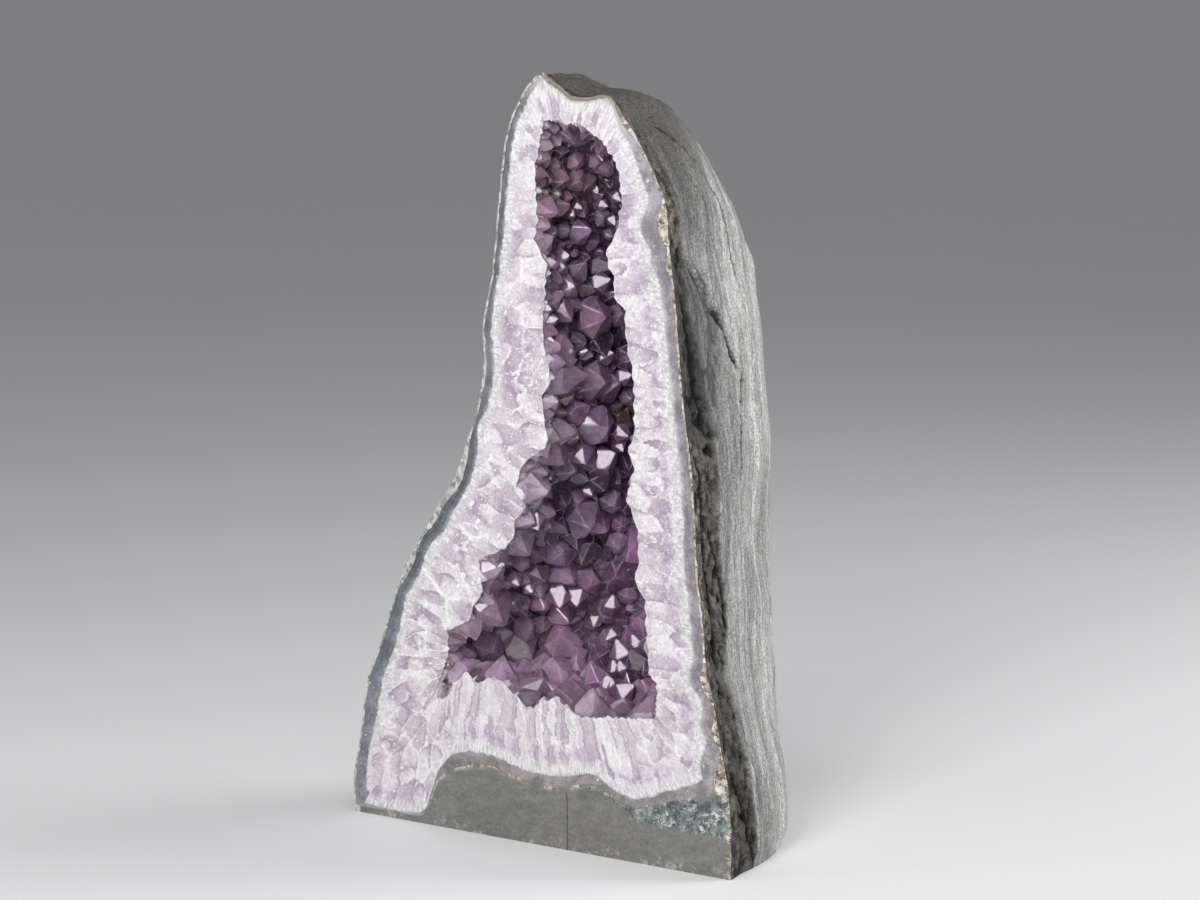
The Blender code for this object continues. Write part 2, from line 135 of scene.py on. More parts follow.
# Width of the agate inside it, at points of the outline going round
AGATE_WIDTHS = [
    (-126, 4, 12.0), (-124, 31, 10.5), (-118, 66, 10.5), (-106, 101, 9.0), (-95, 129, 6.0), (-85, 149, 6.0),
    (-71, 170, 7.6), (-55, 194, 4.6), (-46, 213, 6.6), (-42, 226, 2.0), (-39, 236, 5.0), (-34, 255, 5.0),
    (-33, 284, 4.2), (-29, 300, 3.4), (-25, 330, 3.8), (-23, 347, 3.8), (-18, 376, 3.6), (-12, 394, 4.0),
    (-4, 406, 3.6), (5, 412, 1.6), (20, 405, 1.2), (45, 402, 1.4), (58, 391, 3.0), (74, 368, 6.0), (85, 342, 9.5),
    (86, 330, 11.5), (87, 318, 9.0), (90, 292, 6.6), (94, 258, 5.4), (97, 232, 6.0), (103, 186, 6.2),
    (104, 165, 6.8), (107, 144, 6.2), (111, 110, 6.4), (116, 85, 7.5), (121, 60, 10.0), (121, 44, 12.0),
    (101, 39, 7.0), (74, 31, 4.5), (51, 33, 5.5), (30, 37, 5.5), (15, 33, 6.5), (-4, 34, 5.5), (-30, 39, 6.0),
    (-45, 37, 8.0), (-58, 33, 9.0), (-68, 25, 6.0), (-73, 13, 5.0), (-79, 4.5, 2.0), (-100, 3.5, 0.8),
    (-110, 3.5, 2.0), (-122, 3.5, 10.0),
]
# Its colour there
AGATE_TONES = [
    ((-126, 4), (0.25, 0.26, 0.29)), ((-118, 66), (0.17, 0.19, 0.225)), ((-98, 122), (0.085, 0.102, 0.125)),
    ((-54, 195), (0.075, 0.09, 0.115)), ((-34, 270), (0.11, 0.125, 0.15)), ((-24, 345), (0.065, 0.075, 0.1)),
    ((-12, 394), (0.13, 0.14, 0.165)), ((5, 412), (0.5, 0.48, 0.45)), ((45, 402), (0.5, 0.48, 0.46)),
    ((74, 368), (0.33, 0.31, 0.34)), ((85, 342), (0.25, 0.24, 0.27)), ((87, 318), (0.26, 0.245, 0.27)),
    ((90, 292), (0.26, 0.24, 0.265)), ((103, 190), (0.24, 0.215, 0.24)), ((113, 98), (0.29, 0.26, 0.275)),
    ((121, 50), (0.33, 0.3, 0.305)), ((101, 39), (0.34, 0.3, 0.3)), ((51, 33), (0.27, 0.235, 0.215)),
    ((0, 34), (0.3, 0.26, 0.235)), ((-58, 33), (0.24, 0.215, 0.205)), ((-73, 13), (0.38, 0.36, 0.37)),
    ((-122, 3.5), (0.28, 0.285, 0.31)),
]
# What the quartz beside it is like: fibrous, violet speckled, and how light and soft the agate ends
MOODS = [
    ((-126, 4), (0.4, 0.2, 0.3)), ((-118, 66), (0.25, 0.2, 0.2)), ((-98, 122), (0.3, 0.1, 0.15)),
    ((-54, 195), (0.3, 0.1, 0.15)), ((-34, 270), (0.3, 0.15, 0.15)), ((-24, 345), (0.4, 0.1, 0.2)),
    ((-12, 394), (0.7, 0.1, 0.3)), ((20, 405), (0.9, 0.1, 0.6)), ((58, 391), (0.8, 0.3, 0.7)),
    ((74, 368), (0.4, 0.6, 0.6)), ((85, 342), (0.2, 0.9, 0.75)), ((87, 318), (0.2, 0.9, 0.75)),
    ((90, 292), (0.15, 1.0, 0.9)), ((103, 190), (0.1, 1.0, 0.85)), ((111, 110), (0.15, 0.8, 0.8)),
    ((121, 50), (0.4, 0.5, 0.7)), ((101, 39), (0.9, 0.9, 0.6)), ((51, 33), (1.0, 1.0, 0.5)),
    ((0, 34), (1.0, 0.9, 0.45)), ((-45, 37), (1.0, 0.7, 0.4)), ((-73, 13), (0.6, 0.4, 0.5)),
    ((-122, 3.5), (0.4, 0.2, 0.3)),
]

# Relief of the outside, as on the solid
BARE_ROCK_RECESS = 1.3
LUMP_SIZE = 55.0
LUMP_HEIGHT = 2.4
LEDGE_LENGTH = 60.0
LEDGE_WIDTH = 13.0
LEDGE_HEIGHT = 2.2
SWELLS = [(385.0, 60.0, 4.5), (265.0, 110.0, 5.0), (75.0, 85.0, -2.6)]
DEEPEST = -5.0
# The notch in the crown's outline is full behind the sawn face: x and how much higher the rock is
CROWN_FILL = [(5, 0.0), (11, 1.6), (19, 3.8), (26, 5.2), (34, 4.0), (44, 1.0), (52, 0.0)]
CROWN_FROM = 380  # its height
# Rough bare rock beside the sawn face: share of the arch and how far back it reaches, in mm
BARE_ROCK = [
    (0.0, 7), (0.08, 9), (0.15, 5), (0.24, 8), (0.34, 4), (0.42, 5), (0.47, 2), (0.5, 3), (0.54, 5), (0.6, 9),
    (0.643, 11), (0.668, 14), (0.697, 21), (0.729, 22.5), (0.776, 22.5), (0.805, 21.5), (0.831, 25), (0.86, 25),
    (0.888, 16), (0.913, 22), (0.941, 26), (0.971, 27), (1.0, 28),
]
# A hollow beside it, in the same terms, from where it starts to where it ends
RECESS = [
    (0.636, 8), (0.646, 14), (0.656, 25), (0.667, 30), (0.679, 33), (0.697, 31), (0.72, 28), (0.768, 22),
]
RECESS_DEPTH = 2.6
# Cracks and layer lines: points as (share of the arch, mm back), half width, depth, how dark
LINES = [
    ([(0.563, 19), (0.571, 25), (0.586, 42), (0.603, 54), (0.63, 59), (0.66, 62)], 1.2, 1.4, 1.0),
    ([(0.706, 53), (0.719, 51), (0.732, 49), (0.751, 43.5), (0.775, 41)], 1.3, 2.4, 1.0),
    ([(0.674, 31), (0.682, 34.5), (0.692, 40), (0.701, 44), (0.709, 49)], 2.2, 2.8, 1.0),
    ([(0.555, 9), (0.568, 9), (0.583, 8), (0.6, 10), (0.622, 13)], 1.2, 1.0, 0.8),
    ([(0.59, 24), (0.612, 34), (0.64, 41), (0.668, 43), (0.69, 50)], 0.9, 0.7, 0.6),
    ([(0.664, 8), (0.68, 12), (0.695, 14.5), (0.728, 16.8), (0.75, 19.5)], 2.6, 3.4, 1.0),
    ([(0.752, 5), (0.79, 7.5), (0.816, 8.5), (0.862, 9.5), (0.882, 12)], 1.8, 2.6, 1.0),
    ([(0.812, 18), (0.832, 23), (0.85, 25.5), (0.87, 23)], 2.0, 2.8, 1.0),
    ([(0.938, 5), (0.956, 13.5), (0.975, 19.5), (0.999, 27)], 2.3, 3.8, 1.0),
    ([(0.643, 17), (0.66, 27), (0.677, 30.5), (0.7, 29.5), (0.735, 25)], 1.1, 1.0, 0.97),
    ([(0.648, 12), (0.664, 20.5), (0.682, 25), (0.705, 25)], 0.9, 0.9, 0.9),
    ([(0.652, 10), (0.668, 16.5), (0.686, 20.5), (0.712, 21.5)], 0.9, 0.9, 0.9),
    ([(0.6, 30), (0.64, 42), (0.67, 45)], 0.7, 0.4, 0.45),
    ([(0.77, 36), (0.82, 40), (0.88, 37), (0.93, 41)], 0.8, 0.5, 0.45),
    ([(0.8, 60), (0.86, 66), (0.91, 62)], 0.8, 0.6, 0.5),
    ([(0.895, 17), (0.915, 26), (0.94, 31), (0.97, 34)], 1.2, 1.0, 0.7),
    ([(0.06, 22), (0.12, 30), (0.19, 33), (0.26, 29)], 1.2, 1.0, 0.7),
    ([(0.285, 44), (0.3, 46), (0.325, 45)], 1.8, 2.4, 1.0),
    ([(0.2, 62), (0.3, 70), (0.4, 60)], 0.9, 0.6, 0.6),
    ([(0.33, 18), (0.39, 28), (0.45, 27), (0.5, 36)], 1.0, 0.7, 0.65),
    ([(0.44, 60), (0.5, 74), (0.55, 78), (0.61, 90)], 1.0, 0.7, 0.6),
    ([(0.05, 70), (0.12, 84), (0.22, 90)], 1.2, 0.9, 0.7),
    ([(0.83, 92), (0.88, 98), (0.95, 90)], 1.2, 0.9, 0.7),
]


def ramp(value, low, high):
    """0 at low, 1 at high, smooth between them."""
    t = np.clip((value - low) / (high - low), 0.0, 1.0)
    return t * t * (3 - 2 * t)


def bump(value, middle, half_width):
    """1 at the middle, 0 from the half width away."""
    away = np.minimum(np.abs(value - middle) / half_width, 1.0)
    return (1 - away * away) ** 2


def smooth_line(points, steps=14):
    """A Catmull-Rom curve through (x, z) points."""
    p = np.array([points[0], *points, points[-1]], float)
    t = (np.arange(steps) / steps)[None, :, None]
    a, b, c, d = (p[k : len(p) - 3 + k][:, None, :] for k in range(4))
    square, cube = 2 * a - 5 * b + 4 * c - d, 3 * b - a - 3 * c + d
    curve = 0.5 * (2 * b + (c - a) * t + square * t**2 + cube * t**3)
    return np.vstack([curve.reshape(-1, 2), p[-1]])


def lengths(line):
    return np.concatenate([[0.0], np.cumsum(np.linalg.norm(np.diff(line, axis=0), axis=1))])


def at_length(line, where):
    along = lengths(line)
    return np.stack([np.interp(where, along, line[:, k]) for k in (0, 1)], -1)


def resample(line, count):
    return at_length(line, np.linspace(0, lengths(line)[-1], count))


def nearest(line, point):
    return int(np.argmin(np.linalg.norm(line - np.array(point, float), axis=1)))


def inwards(line):
    """Unit vectors to the inside of an outline that runs clockwise."""
    step = np.gradient(line, axis=0)
    side = np.stack([step[:, 1], -step[:, 0]], -1)
    return side / np.maximum(np.linalg.norm(side, axis=1), 1e-6)[:, None]


def side_of(ring):
    """The same for a ring of points whose first point isn't repeated at its end."""
    return inwards(np.vstack([ring, ring[:1]]))[:-1]


def grain(points, size, octaves=1, offset=(0, 0, 0)):
    """Smooth noise from about -1 to 1 at each point of a grid of 3-D points."""
    where = (np.asarray(points, float) / np.asarray(size, float) + np.asarray(offset, float)).reshape(-1, 3)
    if octaves == 1:
        found = [noise.noise(p) for p in where.tolist()]
    else:
        found = [noise.fractal(p, 0.9, 2.1, octaves) for p in where.tolist()]
    return np.array(found).reshape(np.shape(points)[:-1])


def off_line(places, line):
    """Distance of 2-D places from a line of points, and from 0 to 1 how far along it."""
    line = np.array(line, float)
    best = np.full(len(places), 1e9)
    where = np.zeros(len(places))
    for k, (a, b) in enumerate(zip(line, line[1:])):
        t = np.clip((places - a) @ (b - a) / ((b - a) @ (b - a)), 0, 1)
        off = np.linalg.norm(places - a - t[:, None] * (b - a), axis=1)
        nearer = off < best
        best = np.where(nearer, off, best)
        where = np.where(nearer, (k + t) / (len(line) - 1), where)
    return best, where


def on_face(flat, back=0.0):
    """(x, z) points as 3-D points, so far behind the sawn face."""
    return np.stack([flat[..., 0], np.full(flat.shape[:-1], FACE_Y + back), flat[..., 1]], -1)


class Dome:
    """A surface that starts at an outline on the sawn face and closes behind it."""

    def __init__(self, outline, sill, depth, lift=0.0):
        self.outline = outline
        self.depth = depth
        self.lift = lift
        self.top = outline[:, 1].max()
        self.floor = sill[:, 1].min()
        self.level = sill[:, 1].max()

    def rows(self, backs):
        """Points as [row, column], one row for each share of the way back."""
        inside = np.clip(np.asarray(backs, float), 0, 1)[:, None]
        x, z = self.outline[None, :, 0], self.outline[None, :, 1]
        squeeze = (1 - inside**BACK_ROUND) ** (1 / BACK_ROUND)
        sink = 1 - np.sqrt(1 - inside**2)
        spine = SPINE_FOOT + (SPINE_TOP - SPINE_FOOT) * z / HEIGHT
        tall = z / self.top
        low = np.maximum(1 - (z - self.floor) / FLOOR_REACH, 0.0)
        z = z + FLOOR_LEVELLING * ramp(inside, 0.0, 0.5) * np.maximum(self.level - z, 0.0)
        z = z + sink * (self.lift * low * low - BACK_DROP * z * tall * tall)
        x = spine + (x - spine) * squeeze
        y = np.broadcast_to(FACE_Y + self.depth * inside, x.shape)
        return np.stack([x, y, z], -1)


def grid_normals(rows):
    """Unit normals of a grid of points whose rows close on themselves."""
    around = np.roll(rows, -1, axis=1) - np.roll(rows, 1, axis=1)
    along = np.gradient(rows, axis=0)
    normal = np.cross(around, along)
    return normal / np.maximum(np.linalg.norm(normal, axis=2, keepdims=True), 1e-9)


def grid_faces(rows, columns):
    """Quads between neighbouring rows of points; each row closes on itself.

    The number of a quad is the number of its first corner.
    """
    r = np.arange(rows - 1)[:, None] * columns
    c = np.arange(columns)[None, :]
    d = (c + 1) % columns
    quads = np.stack([r + c, r + d, r + columns + d, r + columns + c], -1)
    return quads.reshape(-1, 4).tolist()


def outward_normals(rows):
    """The same, turned away from the middle of the rows."""
    normal = grid_normals(rows)
    return -normal if np.mean((rows[3] - rows[3].mean(axis=0)) * normal[3]) < 0 else normal


class Shell:
    """Gathers grids of points, their faces and their attributes into one mesh."""

    def __init__(self):
        self.points, self.faces, self.edges, self.values = [], [], [], {}
        self.count = 0

    def add(self, points, faces, edges=None, **values):
        """Points, faces that index these points, which faces are bevels, and values of the points.

        A value is three numbers for each point, or three numbers for all of them.
        """
        points = np.asarray(points, float).reshape(-1, 3)
        self.points.append(points)
        self.faces += [[corner + self.count for corner in face] for face in faces]
        self.edges += [0.0] * len(faces) if edges is None else edges
        self.count += len(points)
        for name, value in values.items():
            value = np.broadcast_to(np.asarray(value, float).reshape(-1, 3), points.shape)
            self.values.setdefault(name, []).append(value)

    def grid(self, rows, tip=None, **values):
        """rows is [row, column, 3]. The last row can be closed by the point this far from its middle."""
        height, width = rows.shape[:2]
        points, faces = rows.reshape(-1, 3), grid_faces(height, width)
        if tip is not None:
            points = np.vstack([points, rows[-1].mean(axis=0) + tip])
            last, tip_number = (height - 1) * width, height * width
            faces += [[last + c, last + (c + 1) % width, tip_number] for c in range(width)]
            for name, value in values.items():
                value = np.asarray(value, float).reshape(-1, 3)
                values[name] = np.vstack([value, value[-1:]]) if len(value) > 1 else value
        self.add(points, faces, **values)

    def build(self, name, smooth=True, sharp=None):
        mesh = bpy.data.meshes.new(name)
        mesh.from_pydata((np.vstack(self.points) * MM).tolist(), [], self.faces)
        for key, parts in self.values.items():
            mesh.attributes.new(key, "FLOAT_VECTOR", "POINT").data.foreach_set("vector", np.vstack(parts).ravel())
        # Which faces are bevels; the materials paint these lighter as painted highlights
        mesh.attributes.new("edge", "FLOAT", "FACE").data.foreach_set("value", self.edges)
        bm = bmesh.new()
        bm.from_mesh(mesh)
        bmesh.ops.remove_doubles(bm, verts=bm.verts, dist=2e-6)
        bmesh.ops.dissolve_degenerate(bm, edges=bm.edges, dist=1e-6)
        bmesh.ops.recalc_face_normals(bm, faces=bm.faces)
        if bm.calc_volume(signed=True) < 0:
            bmesh.ops.reverse_faces(bm, faces=bm.faces)
        bm.to_mesh(mesh)
        bm.free()
        if smooth:
            mesh.shade_smooth()
        if sharp is not None:
            mesh.set_sharp_from_angle(angle=math.radians(sharp))
        thing = bpy.data.objects.new(name, mesh)
        bpy.context.scene.collection.objects.link(thing)
        return thing


def wear(piece, material, node):
    """Gives a piece its material and its place in the shared frame."""
    piece.data.materials.append(material)
    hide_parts(node)
    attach(piece, "root")


# Outlines shared by the pieces

outer_arch = resample(smooth_line(OUTER), ARCH_COLUMNS + 1)
arc = lengths(outer_arch)
arc_share = arc / arc[-1]
jag = grain(on_face(outer_arch), 5.0, 3)
outer_arch = outer_arch + inwards(outer_arch) * (0.35 * jag * ramp(outer_arch[:, 1], 2, 12))[:, None]
sill_x = np.linspace(FOOT_HALF_WIDTH, -FOOT_HALF_WIDTH, SILL_COLUMNS + 1)[:-1]
rock_outline = np.vstack([outer_arch[:-1], np.stack([sill_x, np.zeros(SILL_COLUMNS)], -1)])

mound = resample(smooth_line(MOUND), SILL_COLUMNS + 1)
mound = mound + inwards(mound) * (0.45 * grain(on_face(mound), 4.0, 3) * ramp(mound[:, 1], 4, 14))[:, None]

crust_width = CRUST_LINE + sum(extra * bump(arc_share, middle, half) for middle, half, extra in CRUST_LUMPS)
crust_width = crust_width + 0.45 * grain(on_face(outer_arch), 3.2, 3) + 0.35 * grain(on_face(outer_arch), 14.0)
crust_width = np.maximum(crust_width, 0.5)
agate_arch = outer_arch + inwards(outer_arch) * crust_width[:, None]
left = np.arange(len(agate_arch)) < len(agate_arch) // 2
low_left = left & (agate_arch[:, 1] < mound[-1, 1])
low_right = ~left & (agate_arch[:, 1] < np.interp(agate_arch[:, 0], mound[::-1, 0], mound[::-1, 1]))
corner = agate_arch[np.argmax(low_right) - 1]
mound = resample(np.vstack([corner, mound[mound[:, 0] < corner[0] - 1.0]]), SILL_COLUMNS + 1)
agate_arch[low_left] = mound[-1]
agate_arch[low_right] = mound[0]

# The ring round the quartz: up the left, over the top, down the right and back along the mound
kept = ~(low_left | low_right)
band_edge = np.vstack([mound[-1:], agate_arch[kept], mound[:-1]])
band_length = lengths(band_edge)
ring_size = len(band_edge)


def facing_points(edge, line, pairs):
    """Points of the line that face the edge's points, as each pair in the list says."""
    edge_at, line_at = lengths(edge), lengths(line)
    edge_ends = [0.0, *(edge_at[nearest(edge, a)] for a, _ in pairs), edge_at[-1]]
    line_ends = [0.0, *(line_at[nearest(line, b)] for _, b in pairs), line_at[-1]]
    return at_length(line, np.interp(edge_at, edge_ends, line_ends))


mouth_line = resample(np.array(MOUTH, float), 3000)
mouth = facing_points(band_edge, mouth_line, FACING)
rays = mouth - band_edge
reach = np.linalg.norm(rays, axis=1)
rays = rays / reach[:, None]


def around(stops):
    """Values given at points of the band's edge, spread along it."""
    at = np.array([band_length[nearest(band_edge, place)] for place, _ in stops])
    values = np.array([value for _, value in stops], float).reshape(len(stops), -1)
    order = np.argsort(at, kind="stable")
    spread = [np.interp(band_length, at[order], values[order, k]) for k in range(values.shape[1])]
    return np.stack(spread, -1)


agate_width = around([((x, z), width) for x, z, width in AGATE_WIDTHS])[:, 0]
agate_tone = around(AGATE_TONES)
moods = around(MOODS)


def crystal_columns():
    """The sectioned crystal that each ray of the band crosses: its own number and 0 to 1 across it."""
    span, near = 16, range(-9, 10)
    padded = np.concatenate([reach[-span:], reach, reach[:span]])
    rise = reach - np.convolve(padded, np.ones(2 * span + 1) / (2 * span + 1), mode="valid")
    valleys = {k for k in range(ring_size) if rise[k] == min(rise[(k + j) % ring_size] for j in near)}
    chance = random.Random(SEED)
    sides = []
    for valley in sorted(valleys | {0, ring_size}):
        while sides and valley - sides[-1] > 12:
            sides.append(sides[-1] + chance.randint(6, 10))
        sides.append(valley)
    sides = np.array(sorted(set(sides)))
    number = np.clip(np.searchsorted(sides, np.arange(ring_size), side="right") - 1, 0, len(sides) - 2)
    start, end = sides[number], sides[number + 1]
    own = np.array([chance.random() for _ in sides])
    return own[number], (np.arange(ring_size) - start) / np.maximum(end - start, 1)


column_tone, column_place = crystal_columns()


def sections(places, crystals, chance):
    """The crystal that each place on the face lies in: own number, mm from its side, slope across it.

    The crystals are rows of middle, axis, width and length.
    """
    seeds, axes, sizes = np.split(np.array(crystals), [2, 4], axis=1)
    best = np.full((2, len(places)), 1e9)
    owner = np.zeros(len(places), int)
    for k, (seed, axis, (wide, long)) in enumerate(zip(seeds, axes, sizes)):
        rel = places - seed
        off = np.hypot((rel @ np.array([-axis[1], axis[0]])) / wide, (rel @ axis) / long)
        first = off < best[0]
        best[1] = np.where(first, best[0], np.minimum(best[1], off))
        owner[first] = k
        best[0] = np.where(first, off, best[0])
    own = chance.uniform(0, 1, len(seeds))
    turn = chance.uniform(0, math.tau, len(seeds))
    slope = np.stack([np.cos(turn), np.sin(turn)], -1) * chance.uniform(0.3, 1.0, len(seeds))[:, None]
    rel = (places - seeds[owner]) / sizes[owner].mean(axis=1)[:, None]
    edge = (best[1] - best[0]) / 2 * sizes[owner, 0]
    return np.stack([own[owner], edge, (rel * slope[owner]).sum(axis=1)], -1)


def scatter(places, seeds, gap, tries, chance):
    """Random places at least so far from every seed and from one another."""
    seeds, found = list(seeds), []
    for k in chance.integers(0, len(places), tries):
        q = places[k]
        if not seeds or np.min(np.linalg.norm(np.array(seeds) - q, axis=1)) > gap:
            seeds.append(q)
            found.append(k)
    return found


# Each sectioned crystal ends in a small point
point = (1 - np.abs(2 * column_place - 1)) * (0.2 + 1.6 * column_tone)
point = point + 0.5 * np.abs(grain(on_face(mouth), 2.2))
mouth = mouth + rays * point[:, None]
reach = reach + point


# Materials

class Value:
    """What a node gives. Sums and products with it are made as math nodes."""

    def __init__(self, paint, socket):
        self.paint, self.socket = paint, socket

    def __add__(self, other):
        return self.paint.math("ADD", self, other)

    def __sub__(self, other):
        return self.paint.math("SUBTRACT", self, other)

    def __rsub__(self, other):
        return self.paint.math("SUBTRACT", other, self)

    def __mul__(self, other):
        return self.paint.math("MULTIPLY", self, other)

    def __truediv__(self, other):
        return self.paint.math("DIVIDE", self, other)

    def __abs__(self):
        return self.paint.math("ABSOLUTE", self)


class Paint:
    """Short names for a material's nodes, whose inputs are numbers, tuples or what a node gives."""

    def __init__(self, name):
        self.material = bpy.data.materials.new(name)
        self.material.use_nodes = True
        self.tree = self.material.node_tree
        self.place = self.node("TexCoord", "Object")

    def plug(self, socket, value):
        if isinstance(value, Value):
            self.tree.links.new(value.socket, socket)
        else:
            socket.default_value = (*value, 1.0) if socket.type == "RGBA" else value

    def node(self, kind, output, plugs=(), **settings):
        made = self.tree.nodes.new("ShaderNode" + kind)
        for key, value in settings.items():
            setattr(made, key, value)
        for socket, value in dict(plugs).items():
            self.plug(made.inputs[socket], value)
        return Value(self, made.outputs[output])

    def attribute(self, name, output="Vector"):
        return self.node("Attribute", output, attribute_name=name)

    def split(self, vector):
        x = self.node("SeparateXYZ", 0, {0: vector})
        return [Value(self, part) for part in x.socket.node.outputs]

    def parts(self, name):
        return self.split(self.attribute(name))

    def join(self, x, y):
        return self.node("CombineXYZ", 0, {0: x, 1: y})

    def math(self, operation, a, b=0.0):
        return self.node("Math", 0, {0: a, 1: b}, operation=operation)

    def fade(self, value, low, high):
        """0 at low, 1 at high, smooth between them."""
        plugs = {"Value": value, "From Min": low, "From Max": high}
        return self.node("MapRange", 0, plugs, interpolation_type="SMOOTHSTEP")

    def peak(self, value, middle, half):
        """1 at the middle, 0 from half away."""
        return self.fade(abs(value - middle), half, 0.0)

    def noise(self, scale, detail, rough=0.55, distortion=0.0, on=None, stretch=None):
        """Noise in space, or on another vector, which can be stretched first."""
        on = on or self.place
        if stretch:
            on = self.node("Mapping", 0, {"Vector": on, "Scale": stretch})
        plugs = {"Vector": on, "Scale": scale, "Detail": detail, "Roughness": rough, "Distortion": distortion}
        return self.node("TexNoise", "Fac", plugs)

    def cells(self, scale, output):
        return self.node("TexVoronoi", output, {"Vector": self.place, "Scale": scale})

    def blend(self, factor, a, b, how="MIX"):
        return self.node("Mix", 2, {0: factor, 6: a, 7: b}, data_type="RGBA", blend_type=how)

    def shade(self, colour, value, low, high, dark, bright):
        """The colour times a factor that goes from dark to bright as the value goes from low to high."""
        factor = self.fade(value, low, high) * (bright - dark) + dark
        return self.blend(1.0, colour, factor, "MULTIPLY")

    def layers(self, colour, *rows):
        """Coats (share, colour) and shadings (value, low, high, dark, bright), one over the other."""
        for row in rows:
            colour = self.blend(row[0], colour, row[1]) if len(row) == 2 else self.shade(colour, *row)
        return colour

    def bump(self, height, strength, distance):
        return self.node("Bump", 0, {"Strength": strength, "Distance": distance, "Height": height})

    def finish(self, **inputs):
        shader = self.tree.nodes["Principled BSDF"]
        for name, value in inputs.items():
            self.plug(shader.inputs[name.replace("_", " ")], value)
        return self.material


def rock_material():
    """Ground basalt of the back, with the rough bare strip beside the sawn face on the right."""
    p = Paint("ground_basalt")
    arc_mm, deep, height = p.parts("hide")
    # The wear attribute holds the bare strip, the cracks, and the recess with its layer lines, whose darkness is
    # partly painted shade
    strip, crack, recess_shade_and_layers = p.parts("wear")
    hide = p.join(arc_mm, deep)
    streaks = p.noise(1.0, 5.0, 0.62, 0.5, hide, (0.016, 0.26, 1.0))
    brushed = p.noise(1.0, 4.0, 0.68, 0.0, hide, (0.1, 1.0, 1.0))
    broad = p.noise(1.0, 4.0, 0.6, 0.6, hide, (0.006, 0.085, 1.0))
    grit = p.noise(860.0, 4.0, 0.72)
    pits = p.cells(620.0, "Distance")
    ground = p.layers(
        p.blend(p.fade(streaks, 0.32, 0.68), (0.26, 0.26, 0.252), (0.43, 0.43, 0.42)),
        (p.fade(p.noise(26.0, 5.0, 0.6), 0.46, 0.7) * 0.35, (0.25, 0.243, 0.23)),
        (brushed, 0.34, 0.66, 0.74, 1.22),
        (broad, 0.38, 0.6, 0.72, 1.14),
        # Painted light and shade: lighter further back from the sawn face, darker towards the top near it, and a
        # dark brown crown deepened by painted shade
        (deep, 6.0, 70.0, 0.76, 1.3),
        (p.fade(height, 255.0, 380.0) * p.fade(deep, 75.0, 8.0), 0.0, 1.0, 1.0, 0.5),
        (p.fade(height, 345.0, 398.0) * p.fade(arc_mm, 640.0, 590.0) * 0.9, (0.095, 0.086, 0.078)),
        (grit, 0.36, 0.64, 0.64, 1.48),
        (p.noise(380.0, 4.0, 0.7, stretch=(1.0, 1.0, 0.5)), 0.36, 0.64, 0.82, 1.14),
        (p.fade(pits, 0.16, 0.08) * 0.5, (0.06, 0.06, 0.06)),
    )
    crumbs = p.noise(190.0, 6.0, 0.72, 0.5)
    coarse = p.noise(70.0, 5.0, 0.65, 0.4, stretch=(1.0, 1.0, 0.45))
    flecks = p.fade(p.noise(150.0, 5.0, 0.7), 0.55, 0.62) * p.fade(deep, 13.0, 0.5)
    charcoal = p.layers(
        p.blend(p.fade(crumbs, 0.36, 0.66), (0.02, 0.018, 0.017), (0.21, 0.195, 0.175)),
        (p.fade(coarse, 0.5, 0.64) * 0.6, (0.17, 0.155, 0.135)),
        (flecks * 0.85, (0.44, 0.37, 0.26)),
        (height, 60.0, 170.0, 0.72, 1.05),
    )
    # The recess is painted near black as painted shade, along with the dark layer lines
    rock = p.layers(
        ground, (strip, charcoal), (recess_shade_and_layers * 0.85, (0.045, 0.047, 0.046)), (crack, (0.01, 0.01, 0.01))
    )
    relief = brushed * 0.5 + grit * 0.8 - p.fade(pits, 0.2, 0.05) * 0.5 + crumbs * 3.4 * strip
    return p.finish(
        Base_Color=rock,
        Roughness=strip * 0.2 + 0.66,
        Specular_IOR_Level=0.3,
        Normal=p.bump(relief, 0.9, 0.0009),
    )


